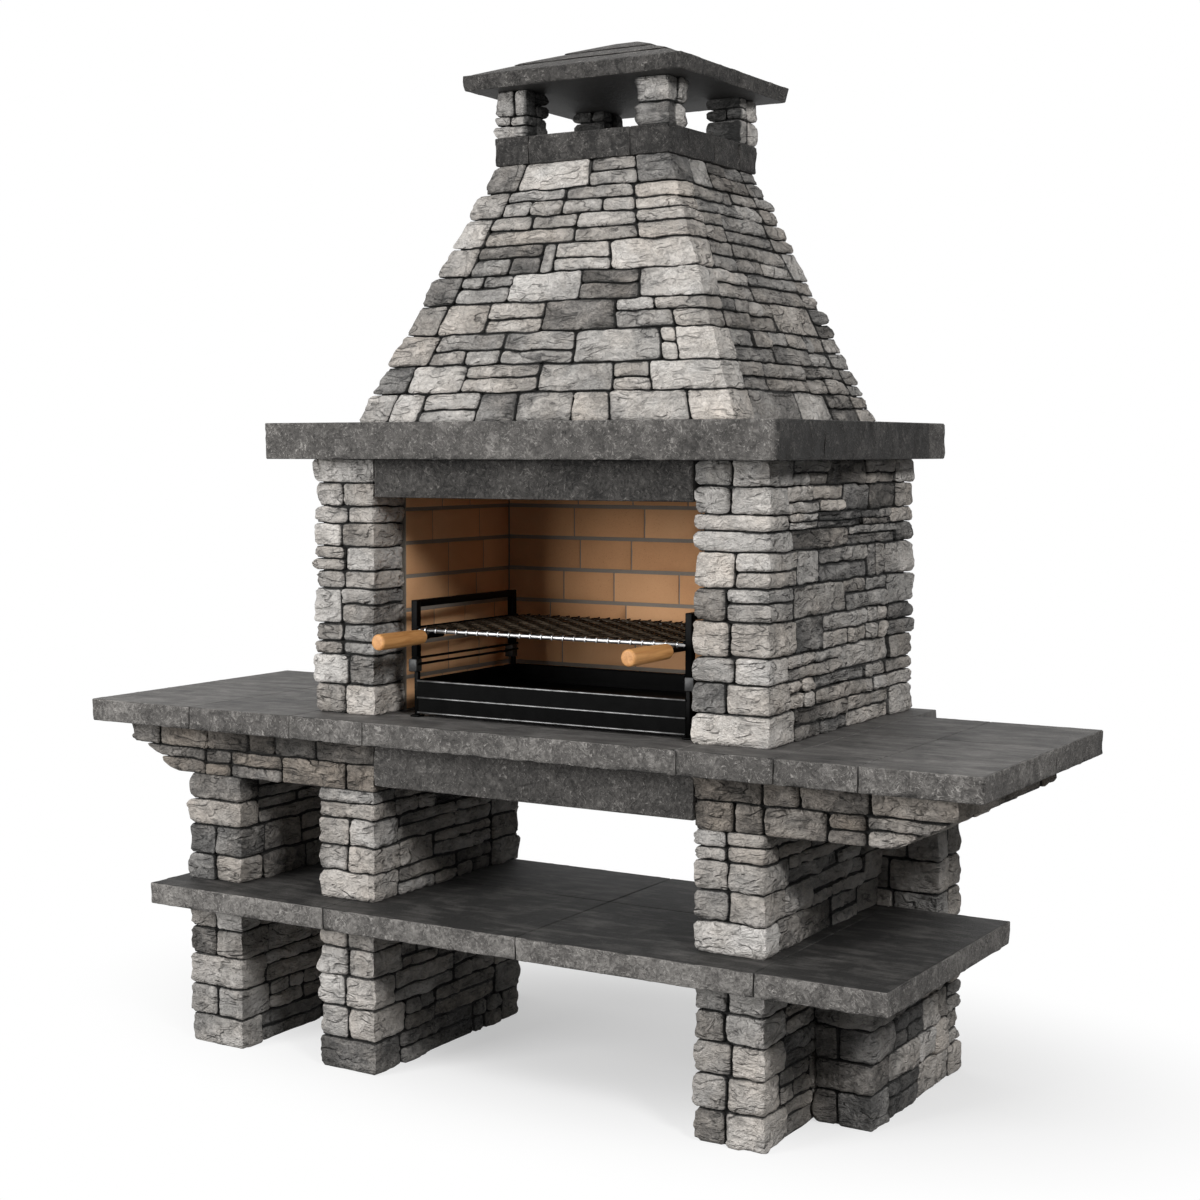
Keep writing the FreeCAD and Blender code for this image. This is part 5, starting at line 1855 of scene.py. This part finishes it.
@dataclass
class Grate:
    """The sliding grate: a bar frame, crimped wires woven through each other, and turned handles."""

    side_bar: float = 0.008
    end_bar: float = 0.010
    wire: float = 0.004
    long_wires: int = 24
    cross_wires: int = 14
    hook_turn: float = 2.3
    bar_steps: int = 7
    wave_steps: int = 6
    handle_ends: tuple = (0.033, 0.037)
    handle_round: float = 0.006
    handle_swell: float = 0.0006
    handle_steps: int = 25
    round_steps: int = 6
    round_clear: float = 1.2
    round_tip: float = 0.5
    tang_tip: tuple = (0.002, 0.6)
    ferrule: tuple = ((-0.024, 1.0), (-0.018, 1.35), (-0.004, 1.55), (0.001, 1.5), (0.002, 1.0))
    tang_end: float = 0.9

    def build(self) -> None:
        """Make the frame, the wires and the handles."""
        low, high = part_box("grate_frame")
        level = (low.z + high.z) / 2
        front, rear = low.y + self.end_bar / 2, high.y - self.end_bar / 2
        long_low, long_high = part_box("grate_long_wires")
        cross_low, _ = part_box("grate_cross_wires")
        xs = np.linspace(long_low.x + self.wire / 2, long_high.x - self.wire / 2, self.long_wires)
        ys = np.linspace(front, rear, self.cross_wires + 2)[1:-1]
        middle = ((long_low.z + long_high.z) / 2 + cross_low.z + self.wire / 2) / 2
        lift = (long_low.z + long_high.z) / 2 - middle
        self.make_frame(low, high, level, front, rear, xs)
        self.weave(xs, ys, front, rear, cross_low.x, 2 * np.mean((low.x, high.x)) - cross_low.x, middle, lift)
        for side in SIDES:
            self.make_handle(side)

    def make_frame(self, low: Vector, high: Vector, level: float, front: float, rear: float, xs: np.ndarray) -> None:
        """Side and end bars, with each long wire's end hooked over the front bar.

        Args:
            low: the frame's lowest corner.
            high: its highest corner.
            level: height of the bars.
            front: y of the front bar.
            rear: y of the rear bar.
            xs: x of the long wires.
        """
        half = self.side_bar / 2
        sides = np.array([np.linspace((x, low.y, level), (x, high.y, level), self.bar_steps)
                          for x in (low.x + half, high.x - half)])
        west, east = low.x + self.side_bar, high.x - self.side_bar
        ends = np.array([np.linspace((west, y, level), (east, y, level), self.bar_steps) for y in (front, rear)])
        turn = np.linspace(0, self.hook_turn, self.bar_steps)
        reach = (self.end_bar + self.wire) / 2
        hooks = np.array([np.column_stack([np.full_like(turn, x), front - np.sin(turn) * reach,
                                           level + np.cos(turn) * reach]) for x in xs])
        piece = Piece("grate_bars", ("grate_frame",), "grate").add(tubes(sides, half, sides=12), RAIL_STEEL)
        piece.add(tubes(ends, self.end_bar / 2, sides=14), RAIL_STEEL)
        piece.add(tubes(hooks, self.wire / 2, sides=7), BRIGHT_STEEL).make()

    def weave(self, xs: np.ndarray, ys: np.ndarray, front: float, rear: float, west: float, east: float,
              middle: float, lift: float) -> None:
        """Crimped wires: each rises and falls as a cosine that turns over at every crossing.

        Args:
            xs: x of the long wires.
            ys: y of the cross wires.
            front: y of the long wires' front ends.
            rear: y of their rear ends.
            west: x of the cross wires' left ends.
            east: x of their right ends.
            middle: height of the weave.
            lift: height of its waves.
        """
        y = np.linspace(front, rear, self.wave_steps * (self.cross_wires + 1) + 1)
        phase = (y - ys[0]) / (ys[1] - ys[0])
        rise = np.clip(np.minimum(phase + 1, self.cross_wires - phase), 0, 1)
        wave = np.cos(np.pi * (phase + np.arange(self.long_wires)[:, None])) * rise + (1 - rise)
        long = np.stack(np.broadcast_arrays(xs[:, None], y, middle + lift * wave), -1)
        x = np.linspace(west, east, self.wave_steps * (self.long_wires + 1) + 1)
        phase = (x - xs[0]) / (xs[1] - xs[0])
        wave = -np.cos(np.pi * (phase + np.arange(self.cross_wires)[:, None]))
        cross = np.stack(np.broadcast_arrays(x, ys[:, None], middle + lift * wave), -1)
        for name, paths in (("long_wires", long), ("cross_wires", cross)):
            piece = Piece(name, (f"grate_{name}",), "grate")
            piece.add(tubes(paths, self.wire / 2, sides=6), WIRE_STEEL).make()

    def make_handle(self, side: Face) -> None:
        """A turned handle with rounded ends on a tang that swells to a ferrule.

        Args:
            side: left or right.
        """
        wood, rod = f"handle_{side.value}", f"handle_tang_{side.value}"
        low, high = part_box(wood)
        centre = np.array([(low.x + high.x) / 2, high.y, (low.z + high.z) / 2])
        length = high.y - low.y
        distance = np.linspace(0, length, self.handle_steps)
        radius = np.interp(distance, (0, length), np.array(self.handle_ends) / 2)
        radius = radius + self.handle_swell * np.sin(np.pi * distance / length)
        turn = np.linspace(0, np.pi / 2, self.round_steps)
        small, large = radius[0], radius[-1]
        bend = self.handle_round
        near = np.column_stack([bend - bend * np.cos(turn), small - bend + bend * np.sin(turn)])
        far = np.column_stack([length - bend + bend * np.sin(turn), large - bend + bend * np.cos(turn)])
        clear = bend * self.round_clear
        body = np.column_stack([distance, radius])[(distance > clear) & (distance < length - clear)]
        tip = np.array([(length, (large - bend) * self.round_tip)])
        surface = turning(np.concatenate([near, body, far, tip]), centre)
        Piece(f"{wood}_wood", (wood,), "grate").add(surface, HANDLE_WOOD).make()
        low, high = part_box(rod)
        tang = (high.x - low.x) / 2
        reach = high.y - centre[1]
        near_end, tip = self.tang_tip
        profile = np.array([(-reach, tang * tip), (near_end - reach, tang),
                            *((distance, tang * swell) for distance, swell in self.ferrule),
                            (centre[1] - low.y, tang * self.tang_end)])
        Piece(f"{rod}_rod", (rod,), "grate").add(turning(profile, centre, sides=20), BLACK_STEEL).make()


# Studio

@dataclass(frozen=True)
class Lamp:
    """A square soft lamp: its name, where it hangs, the point it faces, its side and its watts."""

    name: str
    place: tuple
    aim: tuple
    size: float
    power: float

    def hang(self) -> None:
        """Hang the lamp, turned from straight down to face its point."""
        lamp = bpy.data.lights.new(self.name, "AREA")
        lamp.size, lamp.energy = self.size, self.power
        held = bpy.data.objects.new(self.name, lamp)
        held.location = self.place
        way = np.subtract(self.aim, self.place)
        flat = math.hypot(way[0], way[1])
        held.rotation_euler = (math.atan2(flat, -way[2]), 0.0, math.atan2(-way[0], way[1]))
        bpy.context.scene.collection.objects.link(held)


@dataclass
class Studio:
    """Pale floor, white surroundings, soft lamps and the camera."""

    camera_place: tuple = (2.494, -4.036, 1.4705)
    camera_turn: tuple = (87.8, 0.0, 31.1)
    lens: float = 60.0
    film: float = 36.0
    shift: float = -0.0608
    lamps: tuple = (Lamp("key", (-2.5, -5.1, 2.3), (0.0, 0.0, 1.0), 2.6, 274.0),
                    Lamp("fill", (4.6, -3.0, 3.9), (0.0, 0.0, 1.1), 1.2, 185.0),
                    Lamp("top", (-1.2, 0.6, 6.0), (-0.4, 0.0, 1.0), 3.0, 75.0))
    sky: float = 0.12
    floor_reach: float = 40.0
    floor_pale: tuple = (0.98, 0.98, 0.98)
    floor_bounce: tuple = (0.20, 0.20, 0.20)
    floor_glow: float = 0.48
    glow_squash: tuple = (0.55, 1.0, 1.0)
    glow_centre: tuple = (0.0, 0.3, 0.0)
    glow_range: tuple = (0.25, 1.0)

    def build(self) -> None:
        """Set the stage."""
        scene = bpy.context.scene
        scene.view_settings.view_transform = "Standard"
        self.lay_floor()
        self.light_sky()
        for lamp in self.lamps:
            lamp.hang()
        camera = bpy.data.cameras.new("camera")
        camera.lens, camera.sensor_width, camera.shift_y = self.lens, self.film, self.shift
        held = bpy.data.objects.new("camera", camera)
        held.location = self.camera_place
        held.rotation_euler = [math.radians(angle) for angle in self.camera_turn]
        scene.collection.objects.link(held)
        scene.camera = held

    @staticmethod
    def seen(bench: Bench) -> Wire:
        """Tell rays from the camera or by reflection from light.

        Args:
            bench: writes the nodes.
        Returns:
            1 for such rays, 0 for light.
        """
        kinds = [bench.node("ShaderNodeLightPath", {}, {}, name)
                 for name in ("Is Camera Ray", "Is Glossy Ray", "Is Transmission Ray")]
        return kinds[0].math("MAXIMUM", kinds[1]).math("MAXIMUM", kinds[2])

    def lay_floor(self) -> None:
        """A flat floor that keeps shadows near the object and turns plain white further off."""
        reach = self.floor_reach
        mesh = bpy.data.meshes.new("floor")
        mesh.from_pydata([(-reach, -reach, 0), (reach, -reach, 0), (reach, reach, 0), (-reach, reach, 0)], [],
                         [(0, 1, 2, 3)])
        floor = bpy.data.objects.new("floor", mesh)
        bpy.context.scene.collection.objects.link(floor)
        material = bpy.data.materials.new("floor_paint")
        material.use_nodes = True
        bench = Bench(material.node_tree)
        spread = bench.node("ShaderNodeVectorMath", {"operation": "DISTANCE"},
                            {0: bench.place(self.glow_squash), 1: self.glow_centre}, "Value")
        far = spread.ramp_up(*self.glow_range)
        seen = self.seen(bench)
        paint = bench.node("ShaderNodeBsdfDiffuse", {}, {
            "Color": bench.mix(seen, self.floor_bounce, self.floor_pale)})
        glow = bench.node("ShaderNodeEmission", {}, {"Color": (1, 1, 1, 1), "Strength": 1.0})
        share = seen * (far * (1.0 - self.floor_glow) + self.floor_glow)
        both = bench.node("ShaderNodeMixShader", {}, {0: share, 1: paint, 2: glow})
        bench.node("ShaderNodeOutputMaterial", {}, {"Surface": both})
        mesh.materials.append(material)

    def light_sky(self) -> None:
        """Even white surroundings: plain white to the camera, dimmer as light."""
        world = bpy.data.worlds.new("surroundings")
        world.use_nodes = True
        bpy.context.scene.world = world
        bench = Bench(world.node_tree)
        strength = self.seen(bench) * (1.0 - self.sky) + self.sky
        sky = bench.node("ShaderNodeBackground", {}, {"Color": (1, 1, 1, 1), "Strength": strength})
        bench.node("ShaderNodeOutputWorld", {}, {"Surface": sky})


def main() -> None:
    """Build the studio and every sub-assembly."""
    logging.basicConfig(level=logging.INFO, format="%(name)s: %(message)s")
    for part in (Studio(), Piers(), Corbels(), Worktop(), Firebox(), Mantel(), Hood(), Chimney(), FireStand(), Tray(),
                 Grate()):
        part.build()


if __name__ == "__main__":
    main()
